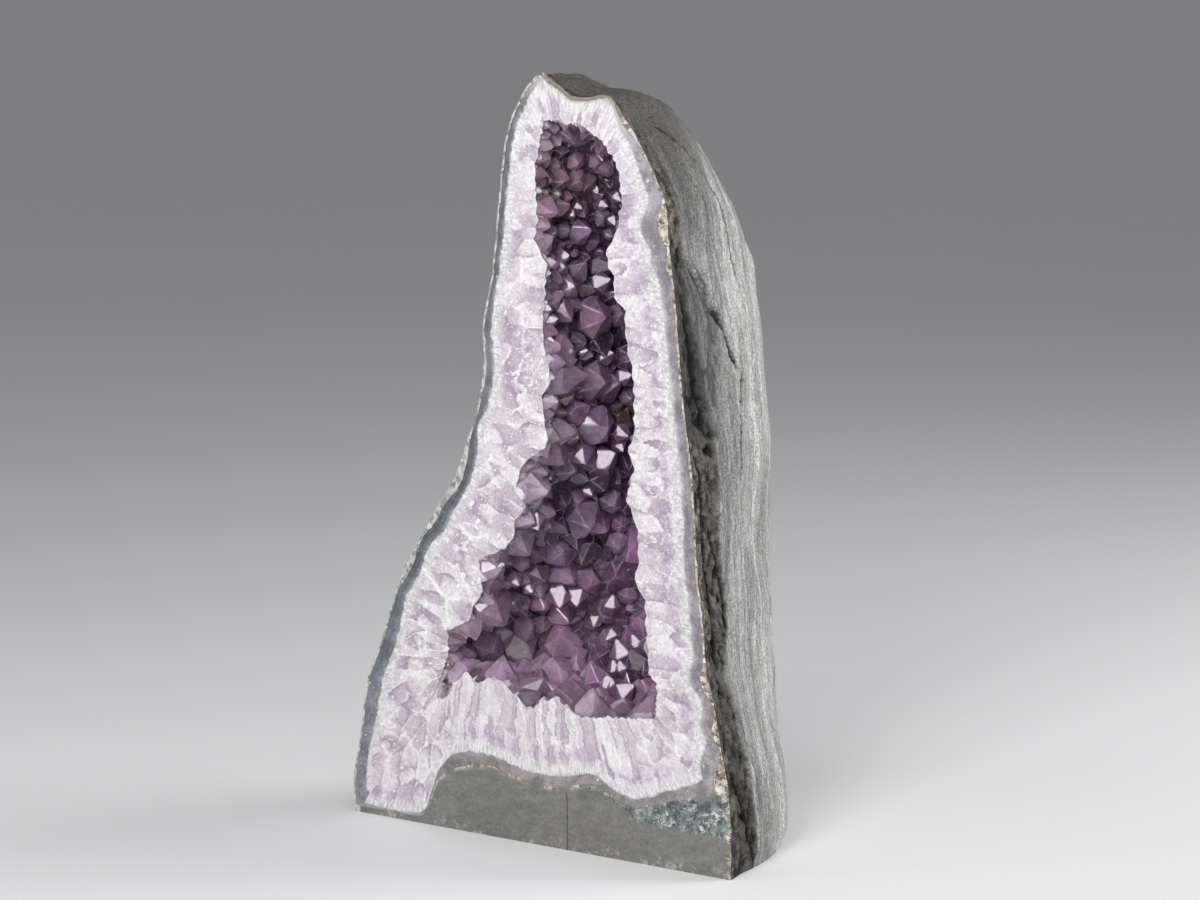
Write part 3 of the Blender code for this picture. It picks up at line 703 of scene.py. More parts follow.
def rock_face_material():
    """Sawn basalt of the mound and the crumbly rim round the face."""
    p = Paint("sawn_basalt")
    rim, moss, top = p.parts("zone")
    x, _, z = p.split(p.place)
    grit = p.noise(1100.0, 2.0, 0.6)
    swirl = p.noise(26.0, 5.0, 0.55, 1.6, stretch=(1.0, 1.0, 2.2))
    white = p.fade(p.noise(330.0, 5.0, 0.75, 0.4), 0.5, 0.58) * p.fade(p.noise(95.0, 4.0, 0.65, 0.6), 0.4, 0.6)
    teal = p.blend(p.fade(p.noise(260.0, 5.0, 0.75), 0.4, 0.6), (0.022, 0.038, 0.046), (0.17, 0.215, 0.215))
    mossy = p.blend(white, teal, (0.64, 0.66, 0.6))
    moss_edge = moss + (p.noise(120.0, 5.0, 0.7) - 0.5) * 1.1
    off_crack = abs(x + (p.noise(60.0, 3.0, 0.6) - 0.5) * 0.0032 - 0.0212)
    hairline = p.fade(off_crack, 0.00045, 0.00012) * p.fade(z, 0.033, 0.03)
    foot = p.fade(z, 0.009, 0.001) * p.fade(p.noise(170.0, 5.0, 0.75), 0.52, 0.62)
    basalt = p.layers(
        p.blend(p.fade(swirl, 0.36, 0.66), (0.13, 0.142, 0.132), (0.18, 0.18, 0.164)),
        (p.fade(p.noise(11.0, 3.0, 0.5, 0.6), 0.42, 0.62) * 0.7, (0.165, 0.158, 0.145)),
        (p.noise(60.0, 5.0, 0.62, 2.2, stretch=(1.0, 1.0, 2.6)), 0.36, 0.64, 0.88, 1.12),
        (p.noise(700.0, 3.0, 0.7), 0.36, 0.64, 0.88, 1.12),
        (p.fade(grit, 0.62, 0.72) * 0.35, (0.055, 0.055, 0.05)),
        (p.fade(moss_edge, 0.45, 0.62) * 0.85, mossy),
        (hairline * 0.85, (0.02, 0.02, 0.02)),
        (foot * 0.8, (0.42, 0.38, 0.29)),
    )
    tone = p.split(p.cells(420.0, "Color"))[0]
    at_left = p.fade(x, 0.004, -0.012)
    crown = p.fade(z, 0.384, 0.396) * p.fade(x, 0.004, 0.012)
    crumbs = p.layers(
        p.blend(tone, (0.2, 0.155, 0.1), (0.74, 0.7, 0.62)),
        (p.fade(p.noise(330.0, 3.0, 0.7), 0.52, 0.62), (0.11, 0.09, 0.07)),
        (p.fade(x, 0.02, -0.02), p.blend(tone, (0.17, 0.165, 0.155), (0.6, 0.59, 0.56))),
        (crown * 0.85, (0.22, 0.185, 0.15)),
        (at_left * (top * 0.6), (0.74, 0.6, 0.5)),
    )
    along_top = top * p.fade(p.noise(95.0, 4.0, 0.7) + at_left * 0.1, 0.46, 0.56)
    crumbly = p.math("MAXIMUM", rim, along_top)
    return p.finish(
        Base_Color=p.blend(crumbly, basalt, crumbs),
        Roughness=crumbly * 0.35 + (grit * 0.12 + 0.42),
        Normal=p.bump(grit * 0.12 + tone * crumbly * 1.6 - hairline * 0.8, 0.6, 0.0005),
    )


def quartz_material():
    """Agate outside, then fibrous white quartz, a violet line and blocky translucent crystals."""
    p = Paint("agate_and_quartz")
    along, across, left_over = p.parts("band")
    agate, combed, violet_share = p.parts("mood")
    light_agate, vein, tone = p.parts("extra")
    block_tone, block_edge, facet_shading = p.parts("block")
    chip_tone, chip_edge, chip_facet_shading = p.parts("chip")
    depth = (p.split(p.place)[1] - FACE_Y * MM) * (1 / MM)
    band = p.join(along, across)
    wander = p.noise(1.0, 4.0, 0.6, 0.0, band, (0.11, 0.05, 1.0)) - 0.5
    ragged = p.noise(1.0, 4.0, 0.65, 0.0, band, (0.8, 0.6, 1.0)) - 0.5
    frayed = (p.noise(210.0, 5.0, 0.72) - 0.5) * (1.0 - light_agate)
    inside = across - agate + (wander * 2.2 + ragged * 1.5) + frayed * 4.5
    sugar = p.noise(620.0, 4.0, 0.7)
    patches = p.noise(62.0, 3.0, 0.55, 0.5)
    flecks = p.noise(300.0, 5.0, 0.68)

    rings = p.noise(1.0, 3.0, 0.6, on=p.join(along * 0.02, inside * 0.9))
    light_tone = p.blend(light_agate, (0.2, 0.21, 0.24), (0.42, 0.385, 0.42))
    dots = p.fade(p.cells(260.0, "Distance"), 0.2, 0.1) * p.fade(patches, 0.52, 0.6)
    stone = p.layers(
        p.attribute("agate_tone"),
        (p.fade(inside / agate, -0.5, -0.05), light_tone),
        (p.fade(rings, 0.42, 0.62) * 0.35, light_tone),
        (dots * 0.8, (0.8, 0.79, 0.77)),
        (p.noise(95.0, 5.0, 0.68), 0.36, 0.64, 0.62, 1.15),
        (sugar, 0.4, 0.6, 0.86, 1.06),
    )

    # Next to the agate: sugary quartz, fibrous in places
    sugary = p.layers(
        p.blend(p.fade(flecks, 0.38, 0.62), (0.46, 0.435, 0.49), (0.88, 0.87, 0.865)),
        (p.fade(patches, 0.5, 0.66) * 0.6, (0.62, 0.58, 0.63)),
        (p.noise(640.0, 4.0, 0.72), 0.38, 0.62, 0.72, 1.12),
    )
    fibres = p.noise(1.0, 4.0, 0.66, 0.2, band, (0.75, 0.12, 1.0))
    comb = p.blend(p.fade(fibres, 0.34, 0.62), (0.5, 0.475, 0.51), (0.9, 0.89, 0.88))
    outer_zone = p.blend(combed * 0.65 + 0.35, sugary, comb)

    # Further in: blocky translucent crystals with veils, some of them broken up by chips. Each block, prism and
    # chip is painted lighter or darker by its slope: painted light and shade of facets
    shake = p.noise(420.0, 4.0, 0.65) - 0.5
    cloud = p.noise(70.0, 4.0, 0.6, 0.6)
    whole = p.layers(
        p.blend(p.fade(block_tone, 0.1, 0.9), (0.56, 0.475, 0.545), (0.82, 0.77, 0.8)),
        (p.fade(facet_shading, 0.05, 0.75) * 0.75, (0.88, 0.845, 0.865)),
        (p.fade(facet_shading, -0.05, -0.8) * 0.6, (0.42, 0.32, 0.41)),
        (p.fade(combed, 0.5, 0.8) * 0.42, (0.8, 0.755, 0.785)),
        (p.fade(cloud, 0.54, 0.7) * 0.4, (0.82, 0.79, 0.8)),
        (p.fade(cloud, 0.44, 0.3) * 0.4, (0.49, 0.405, 0.49)),
        (p.noise(420.0, 4.0, 0.66), 0.36, 0.64, 0.9, 1.04),
    )
    line_mask = p.math("MAXIMUM", p.fade(p.noise(62.0, 4.0, 0.65), 0.47, 0.56), p.fade(combed, 0.5, 0.7) * 0.65)
    chipped = p.layers(
        whole,
        (p.fade(chip_facet_shading, 0.1, 0.7) * 0.55, (0.88, 0.855, 0.865)),
        (p.fade(chip_facet_shading, -0.1, -0.7) * 0.45, (0.42, 0.33, 0.42)),
        (p.fade(chip_tone, 0.86, 0.88) * 0.85, (0.93, 0.92, 0.91)),
        (p.fade(chip_edge + shake * 1.5, 0.26, 0.04) * line_mask * 0.8, (0.95, 0.935, 0.93)),
    )
    shards = p.fade(p.noise(34.0, 3.0, 0.6, 0.4), 0.5, 0.58) * p.fade(combed, 0.75, 0.45)
    crackled = p.fade(p.noise(52.0, 3.0, 0.6, 0.3), 0.55, 0.62)
    crackle = p.math("MAXIMUM", p.peak(p.noise(260.0, 4.0, 0.62, 0.5), 0.5, 0.028), p.fade(flecks, 0.56, 0.62))
    # Their sides are bright thin lines, with a shadow or a light facet beside them
    side = block_edge + shake * 1.5
    body = p.layers(
        whole,
        (shards * 0.85, chipped),
        (crackled * crackle * 0.85, (0.95, 0.94, 0.935)),
        (p.fade(side, 2.2, 0.3) * p.fade(facet_shading, 0.05, -0.35) * 0.7, (0.36, 0.27, 0.37)),
        (p.fade(side, 1.6, 0.2) * p.fade(facet_shading, 0.1, 0.45) * 0.75, (0.93, 0.91, 0.91)),
        (p.fade(block_edge + shake * 2.2, 0.5, 0.08) * line_mask * 0.85, (0.97, 0.955, 0.945)),
        # Painted highlight: a thin white line along the mouth's edge
        (p.fade(left_over, 1.1, 0.2) * p.fade(sugar, 0.4, 0.58) * 0.7, (0.95, 0.94, 0.945)),
    )

    zone_edge = inside + ragged * 6.0
    violet = p.peak(zone_edge, 10.2, 3.6) * p.fade(p.noise(300.0, 4.0, 0.65), 0.44, 0.58)
    mottle = (p.noise(560.0, 4.0, 0.72) - 0.5) * (0.75 - combed * 0.4)
    specks = p.fade(p.noise(480.0, 3.0, 0.7), 0.655, 0.7) * p.fade(inside, 1.0, 3.0)
    dots = p.fade(p.cells(300.0, "Distance"), 0.17, 0.08) * p.fade(combed, 1.2, 0.3)
    stain = p.fade(p.noise(34.0, 3.0, 0.6), 0.64, 0.72) * p.fade(sugar, 0.45, 0.6)
    quartz = p.layers(
        outer_zone,
        (p.fade(zone_edge, 3.5, 8.0), body),
        (violet * violet_share * 0.6, (0.33, 0.25, 0.42)),
        (p.peak(zone_edge, 11.5, 7.0) * violet_share * 0.22, (0.45, 0.35, 0.52)),
        (mottle, -0.12, 0.12, 0.72, 1.0),
        (specks * 0.9, (0.99, 0.985, 0.98)),
        (dots * 0.7, (0.97, 0.965, 0.97)),
        (vein, (0.93, 0.91, 0.88)),
        # Painted highlight on the bevelled edges of the crystals at the mouth
        (p.attribute("edge", "Fac") * 0.75, (0.97, 0.955, 0.96)),
        (stain * 0.45, (0.66, 0.54, 0.4)),
    )
    in_hollow = p.blend(tone, (0.4, 0.22, 0.39), (0.66, 0.45, 0.62))
    colour = p.layers(
        stone,
        (p.fade(inside / (light_agate * 0.9 + 0.25), -1.0, 1.0), quartz),
        (p.fade(depth, 0.6, 9.0) * 0.9, in_hollow),
    )
    facets = facet_shading * 1.2 + chip_facet_shading * shards * 0.7
    relief = sugar * 0.45 + p.noise(1400.0, 2.0, 0.6) * 0.15 + facets * p.fade(inside, 5.0, 10.0)
    return p.finish(
        Base_Color=colour,
        Roughness=p.fade(inside, -0.5, 3.0) * 0.2 + 0.2,
        IOR=QUARTZ_IOR,
        Subsurface_Weight=0.2,
        Subsurface_Radius=(0.002, 0.0017, 0.002),
        Subsurface_Scale=1.0,
        Normal=p.bump(relief, 0.6, 0.0006),
    )


def amethyst_material():
    """Violet quartz, partly see-through, cloudy with fine cracks inside, with painted highlights on bevelled edges
    and painted shade carried in the tint.
    """
    p = Paint("amethyst_crystal")
    cloudy = p.layers(
        p.attribute("tint", "Color"),
        (p.fade(p.noise(150.0, 5.0, 0.65, 0.6), 0.52, 0.68) * 0.3, (0.72, 0.58, 0.71)),
        (p.fade(p.noise(360.0, 5.0, 0.65, 1.6), 0.58, 0.68) * 0.3, (0.86, 0.8, 0.86)),
        (p.noise(240.0, 5.0, 0.66, 0.8), 0.36, 0.64, 0.84, 1.14),
        (p.peak(p.noise(210.0, 3.0, 0.6, 0.8), 0.5, 0.016) * 0.16, (0.92, 0.86, 0.92)),
    )
    # Painted highlight: patches of the bevelled edges painted lighter
    edge = p.attribute("edge", "Fac") * p.fade(p.noise(130.0, 3.0, 0.6), 0.4, 0.6)
    colour = p.layers(
        cloudy,
        (p.fade(p.noise(90.0, 4.0, 0.6), 0.5, 0.68) * 0.55, p.blend(0.72, cloudy, (0.035, 0.012, 0.04))),
        (p.fade(p.noise(38.0, 2.0, 0.5), 0.7, 0.76) * 0.45, (0.34, 0.13, 0.03)),
        (edge * 0.7, (0.88, 0.8, 0.88)),
    )
    return p.finish(
        Base_Color=colour,
        Roughness=0.045,
        IOR=QUARTZ_IOR,
        Transmission_Weight=0.55,
        Subsurface_Weight=0.5,
        Subsurface_Radius=(0.005, 0.003, 0.005),
        Subsurface_Scale=1.0,
    )


# The rock's outside

def rock_back():
    """The ground outside of the rock, with its cracks, layers and crumbly strip."""
    fine, middle = 28, 70  # rows are 1 mm apart up to here, then 1.5 mm, then wider
    last = np.sin(np.linspace(math.asin(middle / DEPTH), 1.452, 24))
    backs = np.concatenate([np.arange(0, fine, 1.0) / DEPTH, np.arange(fine, middle, 1.5) / DEPTH, last])
    rows = Dome(rock_outline, np.zeros((1, 2)), DEPTH).rows(backs)
    lift = np.interp(rock_outline[:, 0], *zip(*CROWN_FILL)) * (rock_outline[:, 1] > CROWN_FROM)
    rows[..., 2] += lift[None, :] * ramp(backs * DEPTH, 1.0, 16.0)[:, None]
    tuck = FOOT_TUCK * (1 - ramp(rows[..., 2], 0, FOOT_RISE)) * ramp(backs, 0.0, 0.12)[:, None]
    aside = np.stack([rows[..., 0] - SPINE_FOOT, rows[..., 1], np.zeros(rows.shape[:2])], -1)
    rows = rows - aside / np.linalg.norm(aside, axis=2, keepdims=True) * tuck[..., None]

    shape = rows.shape[:2]
    under = np.linspace(arc[-1], arc[-1] + 2 * FOOT_HALF_WIDTH, SILL_COLUMNS)
    deep = np.broadcast_to((backs * DEPTH)[:, None], shape)
    share = np.broadcast_to(np.concatenate([arc_share[:-1], np.ones(SILL_COLUMNS)]), shape)
    arc_mm = np.broadcast_to(np.concatenate([arc[:-1], under]), shape)
    start = rows
    ledges = grain(start, (LEDGE_WIDTH, LEDGE_WIDTH, LEDGE_LENGTH), 1, (7, 3, 1))
    rise = LUMP_HEIGHT * grain(start, LUMP_SIZE) * ramp(deep, 8, 45) + LEDGE_HEIGHT * ledges
    swell = sum(height * bump(rows[..., 2], at, half) for at, half, height in SWELLS)
    rise = rise + swell * ramp(deep, 4, 34) * (1 - ramp(deep, 90, 120))
    at, reach_back = zip(*BARE_ROCK)
    ragged = grain(start, 8.0, 4)
    edge = np.interp(share, at, reach_back) + 3.4 * ragged
    strip = (1 - ramp(deep, edge - 1.2, edge + 1.2)) * (share < 1)
    rise = rise - BARE_ROCK_RECESS * strip * ramp(share, 0.5, 0.62)
    at, reach_back = zip(*RECESS)
    edge = np.interp(share, at, reach_back) + 1.5 * ragged
    recess = 1 - ramp(deep, edge - 3.0, edge + 0.5)
    recess = recess * ramp(share, at[0], at[0] + 0.02) * (1 - ramp(share, at[-1] - 0.03, at[-1]))
    ridges = 0.5 + 0.5 * np.cos(math.tau * (4.6 * deep / edge + 0.35 * ragged))
    rise = rise - recess * (RECESS_DEPTH + 1.1 * ridges)

    # Finer than the solid: cracks and layer lines, the recess painted darker as painted shade, crumbly rock and
    # brushed grooves
    hide = np.stack([arc_mm, deep, np.zeros(shape)], -1)
    wander = 1.5 * grain(hide, (30.0, 60.0, 1.0), 2)
    crack = np.zeros(shape)
    recess_shade_and_layers = recess * (0.58 + 0.42 * ridges**3)
    for line, width, depth, dark in LINES:
        line = [(s * arc[-1], d) for s, d in line]
        low, high = min(s for s, _ in line) - 12, max(s for s, _ in line) + 12
        near = (arc_mm > low) & (arc_mm < high) & (deep < max(d for _, d in line) + 14)
        off, along = off_line(np.stack([arc_mm[near], (deep + wander)[near]], -1), line)
        taper = np.clip(1.25 * np.sqrt(np.clip(4 * along * (1 - along), 0, 1)), 0, 1)
        body = np.zeros(shape)
        body[near] = taper * bump(off, 0.0, width * (0.55 + 0.45 * taper))
        rise = rise - depth * body
        if dark >= 1:
            crack = np.maximum(crack, ramp(body, 0.12, 0.5))
        else:
            recess_shade_and_layers = np.maximum(recess_shade_and_layers, dark * ramp(body, 0.05, 0.6))
    pits = np.maximum(grain(start, (4.5, 4.5, 9.0), 3, (3, 8, 2)) - 0.13, 0)
    rise = rise + strip * (grain(start, (2.6, 2.6, 4.2), 4) - 5.0 * pits)
    crack = np.maximum(crack, strip * ramp(pits, 0.08, 0.28) * 0.92)
    rise = rise + (1 - strip) * (0.1 * grain(hide, (30.0, 1.9, 1.0), 3) + 0.16 * grain(start, 2.3, 2))
    rise = np.maximum(rise, DEEPEST)
    # Little of it at the edge of the sawn face and at the foot
    hold = ramp(deep, 0, 12) * ramp(rows[..., 2], 0, 20)
    near = ramp(deep, 0, 3.0) * ramp(rows[..., 2], 0, 6)
    shallow = np.clip(rise, -1.3, 1.0)
    rise = np.where(hold > 0.999, rise, rise * hold + shallow * (near - hold).clip(0, 1) * 0.6)
    rise = rise * (share < 1)
    rows = rows + grid_normals(rows) * rise[..., None]
    rows[..., 2] = np.maximum(rows[..., 2], 0.0)

    shell = Shell()
    shell.grid(
        rows, [0, FACE_Y + DEPTH - rows[-1, :, 1].mean(), 0],
        hide=np.stack([arc_mm, deep, rows[..., 2]], -1),
        wear=np.stack([strip, crack, recess_shade_and_layers], -1),
    )
    return shell.build("basalt_back")


def rock_face():
    """The sawn rock: the crumbly rim round the face and the mound."""
    inner = np.vstack([agate_arch[:-1], mound[:-1]])
    t = np.linspace(0, 1, ROCK_FACE_ROWS)[:, None, None]
    flat = rock_outline * (1 - t) + inner * t
    rows = on_face(flat)
    off_edge = np.min(np.linalg.norm(flat[..., None, :] - outer_arch[::12], axis=3), axis=2)
    columns = np.arange(len(inner))
    on_arch = columns < ARCH_COLUMNS
    tall_enough = (rock_outline[:, 1] > 44) | (columns < ARCH_COLUMNS // 2)
    rim = np.where(on_arch & tall_enough, 1.0, ramp(off_edge, 5.0, 2.0))
    to_inner = np.linalg.norm(inner - flat, axis=2)
    top = np.where(~on_arch, ramp(to_inner, 2.2, 0.4), 0.0) * ramp(rows[..., 2], 3, 12)
    moss = ramp(rows[..., 0], 40, 78) * ramp(rows[..., 2], 12, 30) * (1 - 0.2 * rim)
    moss = np.maximum(moss, ramp(to_inner, 5.0, 1.0) * ramp(rows[..., 0], 10, 40) * ~on_arch)
    dent_rows = np.sin(np.linspace(0, math.pi, ROCK_FACE_ROWS))[:, None]
    rows[..., 1] += rim * 0.35 * np.abs(grain(rows, 2.4, 3)) * dent_rows
    shell = Shell()
    shell.grid(rows, zone=np.stack([rim, moss, top], -1))

    # The rock behind the quartz, so that the piece is closed
    away = np.where(on_arch[:, None], inner + side_of(inner) * 5.2, inner)
    back = Dome(away, mound, AGATE_DEPTH, AGATE_LIFT).rows([0.012, *HIDDEN_ROWS])
    shell.grid(np.concatenate([rows[-1:], back]), [0, 4, 0], zone=(0, 0, 0))
    return shell.build("basalt_face", sharp=40)


# The band of agate and quartz

# Own number, mm from its side and slope of a sectioned crystal, where there is none
NO_BLOCK = (0.5, 5.0, 0.0)
# Ranks of crystals round the mouth: spacing, mm behind the saw, how much of the width is sunk into
# the band, least and greatest width
EDGE_RANKS = [(8.5, 3.8, 0.44, 8.0, 14.0), (9.0, 8.5, 0.56, 8.0, 13.0), (10.0, 14.0, 0.72, 8.0, 13.0)]
EDGE_SIZES = [(100, 1.25), (200, 1.1), (300, 0.85), (380, 0.7)]  # share of the width at a height
EDGE_SAW = FACE_Y + 0.75  # they are cut here
# The blocks and chips that the face is cut through: least mm between two, and tries
BLOCKS = (9.0, 4000)
CHIPS = (3.4, 9000)
# Where the comb of tall prisms is: middle and half width, and the least share of comb
COMB = (4.0, 62.0, 0.55)
# The lip behind the mouth: mm behind the face and mm out from the hollow
LIP_STEPS = [(0.9, 0.3), (3.0, 1.4), (6.5, 3.4), (11.0, 6.5)]
LIP_FACET = 6  # columns
# Veins of white quartz across the band: from, to and half width
VEINS = [
    (-81, 147, -61, 127, 1.3), (-61, 127, -59, 113, 0.9), (74, 318, 84, 324.5, 0.8), (-17, 377, -12, 368, 0.7),
]


class Band:
    """The band of agate and quartz: its sawn face, the crystals at the mouth and its hidden back."""

    def __init__(self):
        self.shell = Shell()
        self.face = self.make_face()
        self.make_lip()
        self.make_outside()

    def values(self, across, left, vein=0.0, block=NO_BLOCK, chip=NO_BLOCK):
        """Attributes of a grid of points, from how far across the band each is."""

        def gather(*parts):
            return np.stack(np.broadcast_arrays(*parts, across)[:-1], -1)

        return dict(
            band=gather(band_length, across, left),
            mood=gather(agate_width, moods[:, 0], moods[:, 1]),
            extra=gather(moods[:, 2], vein, column_tone),
            agate_tone=gather(*agate_tone.T),
            block=block,
            chip=chip,
        )

    def prisms(self, chance, narrow, wide):
        """The tall prisms of the comb, for each ray: own number, mm from a facet's side, its slope."""
        at = lengths(mouth)
        sides, facets = [0.0], []
        while sides[-1] <= at[-1]:
            tone = chance.uniform()
            for slope in chance.permutation([-0.45, 0.0, 0.45])[: chance.integers(2, 4)]:
                sides.append(sides[-1] + chance.uniform(narrow, wide))
                facets.append((tone, slope + chance.normal(0, 0.15)))
        sides, facets = np.array(sides), np.array(facets)
        k = np.searchsorted(sides, at, side="right") - 1
        return np.stack([facets[k, 0], np.minimum(at - sides[k], sides[k + 1] - at), facets[k, 1]], -1)

    def section_face(self, rows, across, left):
        """Sectioned crystals of the face: those that end at the mouth, those behind them, and chips."""
        chance = np.random.default_rng(SEED)
        flat = rows[..., [0, 2]].reshape(-1, 2)
        column = np.tile(np.arange(ring_size), FACE_ROWS)
        inner = np.flatnonzero(((across - agate_width[None]) > 4.0).ravel())
        starts = np.flatnonzero(np.diff(column_tone, prepend=-1.0))
        blocks = []
        for start, end in zip(starts, [*starts[1:], ring_size]):
            k = (start + end) // 2
            wide = np.linalg.norm(mouth[end - 1] - mouth[start]) / 2 + 0.5
            if wide >= 1.5:
                seed = mouth[k] - rays[k] * min(7.5, reach[k] / 2)
                blocks.append((*seed, *rays[k], np.clip(wide, 3.0, 8.0), chance.uniform(11.0, 20.0)))
        deeper = inner[left.ravel()[inner] > 12.0]
        for k in scatter(flat[deeper], np.array(blocks)[:, :2], *BLOCKS, chance):
            k = deeper[k]
            lean = rays[column[k]] + chance.normal(0, 0.25, 2)
            lean /= np.linalg.norm(lean)
            blocks.append((*flat[k], *lean, chance.uniform(3.0, 8.0), chance.uniform(7.0, 15.0)))
        block = sections(flat, blocks, chance)
        shaken = (column + np.round(3.5 * grain(rows, 13.0, 3).ravel())).astype(int) % ring_size
        large, small = self.prisms(chance, 3.5, 9.0)[shaken], self.prisms(chance, 1.5, 4.5)[shaken]
        tips = agate_width[column] + 8.0 + 16.0 * large[:, 0] + 5.0 * small[:, 0]
        tall = np.where((across.ravel() > tips)[:, None], large, small)
        middle, half, share = COMB
        in_comb = (np.abs(flat[:, 0] - middle) < half) & (moods[column, 0] > share)
        block[in_comb] = tall[in_comb]
        chips = []
        for k in scatter(flat[inner], [], *CHIPS, chance):
            turn = chance.uniform(0, math.pi)
            size = chance.uniform(1.4, 2.4), chance.uniform(2.2, 4.6)
            chips.append((*flat[inner[k]], math.cos(turn), math.sin(turn), *size))
        return block, sections(flat, chips, chance)

    def make_face(self):
        """The sawn face of the band, from the agate's outer edge to the mouth."""
        t = np.linspace(0, 1, FACE_ROWS)[:, None]
        flat = band_edge + (mouth - band_edge) * t[..., None]
        rows = on_face(flat)
        across, left = reach * t, reach * (1 - t)
        inner_zone = ramp(across, 14, 24)
        rough = grain(rows, 3.0, 3)
        rows[..., 1] += 0.12 + 0.12 * rough * inner_zone + 0.2 * column_tone * inner_zone
        rows[..., 1] += 0.35 * ramp(left, 1.6, 0.0) * (0.4 + np.abs(rough))
        rows[0, :, 1] = FACE_Y
        vein = np.zeros(across.shape)
        for x0, z0, x1, z1, width in VEINS:
            size = math.hypot(x1 - x0, z1 - z0)
            d = np.array([x1 - x0, z1 - z0]) / size
            run = (flat - (x0, z0)) @ d
            off = (flat - (x0, z0)) @ (-d[1], d[0]) + 1.2 * rough
            part = ramp(run, -2, 2) * (1 - ramp(run, size - 2, size + 2))
            vein = np.maximum(vein, bump(off, 0.0, width) * part)
        block, chip = self.section_face(rows, across, left)
        self.shell.grid(rows, **self.values(across, left, vein, block, chip))
        return rows

    def make_lip(self):
        """From the mouth back into the hollow: the broken sides of the sectioned crystals."""
        chance = np.random.default_rng(SEED)
        facet = chance.uniform(0.3, 1.7, size=(len(LIP_STEPS), ring_size // LIP_FACET + 1))
        facet = np.repeat(facet, LIP_FACET, axis=1)[:, :ring_size, None]
        lip = [on_face(mouth - rays * (out * facet[k]), deep) for k, (deep, out) in enumerate(LIP_STEPS)]
        hollow = hollow_behind(mouth).rows([0.19, 0.3, 0.5, 0.7, 0.87, 0.97])
        lip = np.concatenate([self.face[-1:], lip, hollow])
        across = reach + (lip[..., 1] - FACE_Y) * 0.8
        self.shell.grid(lip, [0, 3, 0], **self.values(across, 3.0))

    def make_outside(self):
        """Its outside, hidden in the rock."""
        outside = Dome(band_edge + side_of(band_edge) * 6.0, mound, AGATE_DEPTH, AGATE_LIFT)
        skin = np.concatenate([self.face[:1], outside.rows([0.014, *HIDDEN_ROWS])])
        self.shell.grid(skin, [0, 3, 0], **self.values(np.zeros(skin.shape[:2]), 30.0))

    def grow_edge(self, shapes, chance):
        """Pale crystals that stand round the mouth, cut by the saw."""
        along = lengths(np.vstack([mouth, mouth[:1]]))
        for rank, (spacing, deep, out, low, high) in enumerate(EDGE_RANKS):
            at = 0.0
            while at < along[-1]:
                at += spacing * chance.uniform(0.7, 1.35)
                k = int(np.searchsorted(along, at)) % ring_size
                inward = rays[k]
                width = chance.uniform(low, high) * np.interp(mouth[k, 1], *zip(*EDGE_SIZES))
                root = mouth[k] - inward * (width * out + chance.uniform(-1.0, 1.2))
                axis = [inward[0] + chance.gauss(0, 0.16)]
                axis += [0.18 + 0.22 * rank + chance.gauss(0, 0.14), inward[1] + chance.gauss(0, 0.16)]
                root = (root[0], FACE_Y + deep + chance.uniform(-1, 1), root[1])
                self.add_crystal(shapes, chance, root, axis, width, k)

    def add_crystal(self, shapes, chance, root, axis, width, column):
        """One of them, at a column of the band."""
        shape = shapes[chance.randrange(len(shapes))]
        turn = chance.uniform(0, math.tau)
        points, loops, edges = set_crystal(shape, root, axis, width, turn, saw=EDGE_SAW)
        if points is None:
            return
        rel = points[:, [0, 2]] - band_edge[column]
        run, off = rel @ rays[column], rel @ (-rays[column][1], rays[column][0])
        along = band_length[column] + off + chance.uniform(-40, 40)
        self.shell.add(
            points, loops, edges,
            band=np.stack([along, np.maximum(run, reach[column] - 6), np.full(len(points), 4.0)], -1),
            mood=(agate_width[column], 0.0, 0.0),
            extra=(0.5, 0.0, chance.random()),
            agate_tone=agate_tone[column],
            block=(chance.uniform(0.4, 1.0), 5.0, chance.uniform(-0.1, 0.5)),
            chip=NO_BLOCK,
        )


quartz_line = resample(np.vstack([smooth_line(QUARTZ_ARCH)[:-1], smooth_line(QUARTZ_SILL)]), 4000)


def hollow_behind(line):
    """The hollow in the quartz. It starts at the points of its outline nearest to the line."""
    span = 8
    found = np.maximum.accumulate([nearest(quartz_line, p) for p in line])
    found = np.concatenate([np.full(span, found[0]), found, np.full(span, found[-1])])
    spread = np.convolve(found, np.ones(2 * span + 1) / (2 * span + 1), mode="valid").astype(int)
    start = quartz_line[np.clip(spread, 0, len(quartz_line) - 1)]
    return Dome(start, np.array(QUARTZ_SILL, float), QUARTZ_DEPTH, QUARTZ_LIFT)


# Camera, as the photograph was taken

AZIMUTH, ELEVATION, DISTANCE, LENS, SENSOR = 36.0, 8.0, 1.8, 103.5, 36.0
TARGET = Vector((0.0428, -0.0675, 0.2176))
PICTURE = (1200, 900)


def towards(azimuth, elevation):
    """Unit vector from the geode to a viewer. Azimuth 0 is in front of the sawn face."""
    a, e = math.radians(azimuth), math.radians(elevation)
    return Vector((math.sin(a) * math.cos(e), -math.cos(a) * math.cos(e), math.sin(e)))


def make_camera():
    back = towards(AZIMUTH, ELEVATION)
    camera = bpy.data.objects.new("camera", bpy.data.cameras.new("camera"))
    camera.data.lens = LENS
    camera.data.sensor_width = SENSOR
    camera.data.clip_end = 50
    camera.location = TARGET + back * DISTANCE
    camera.rotation_euler = (-back).to_track_quat("-Z", "Y").to_euler()
    bpy.context.scene.collection.objects.link(camera)
    bpy.context.scene.camera = camera


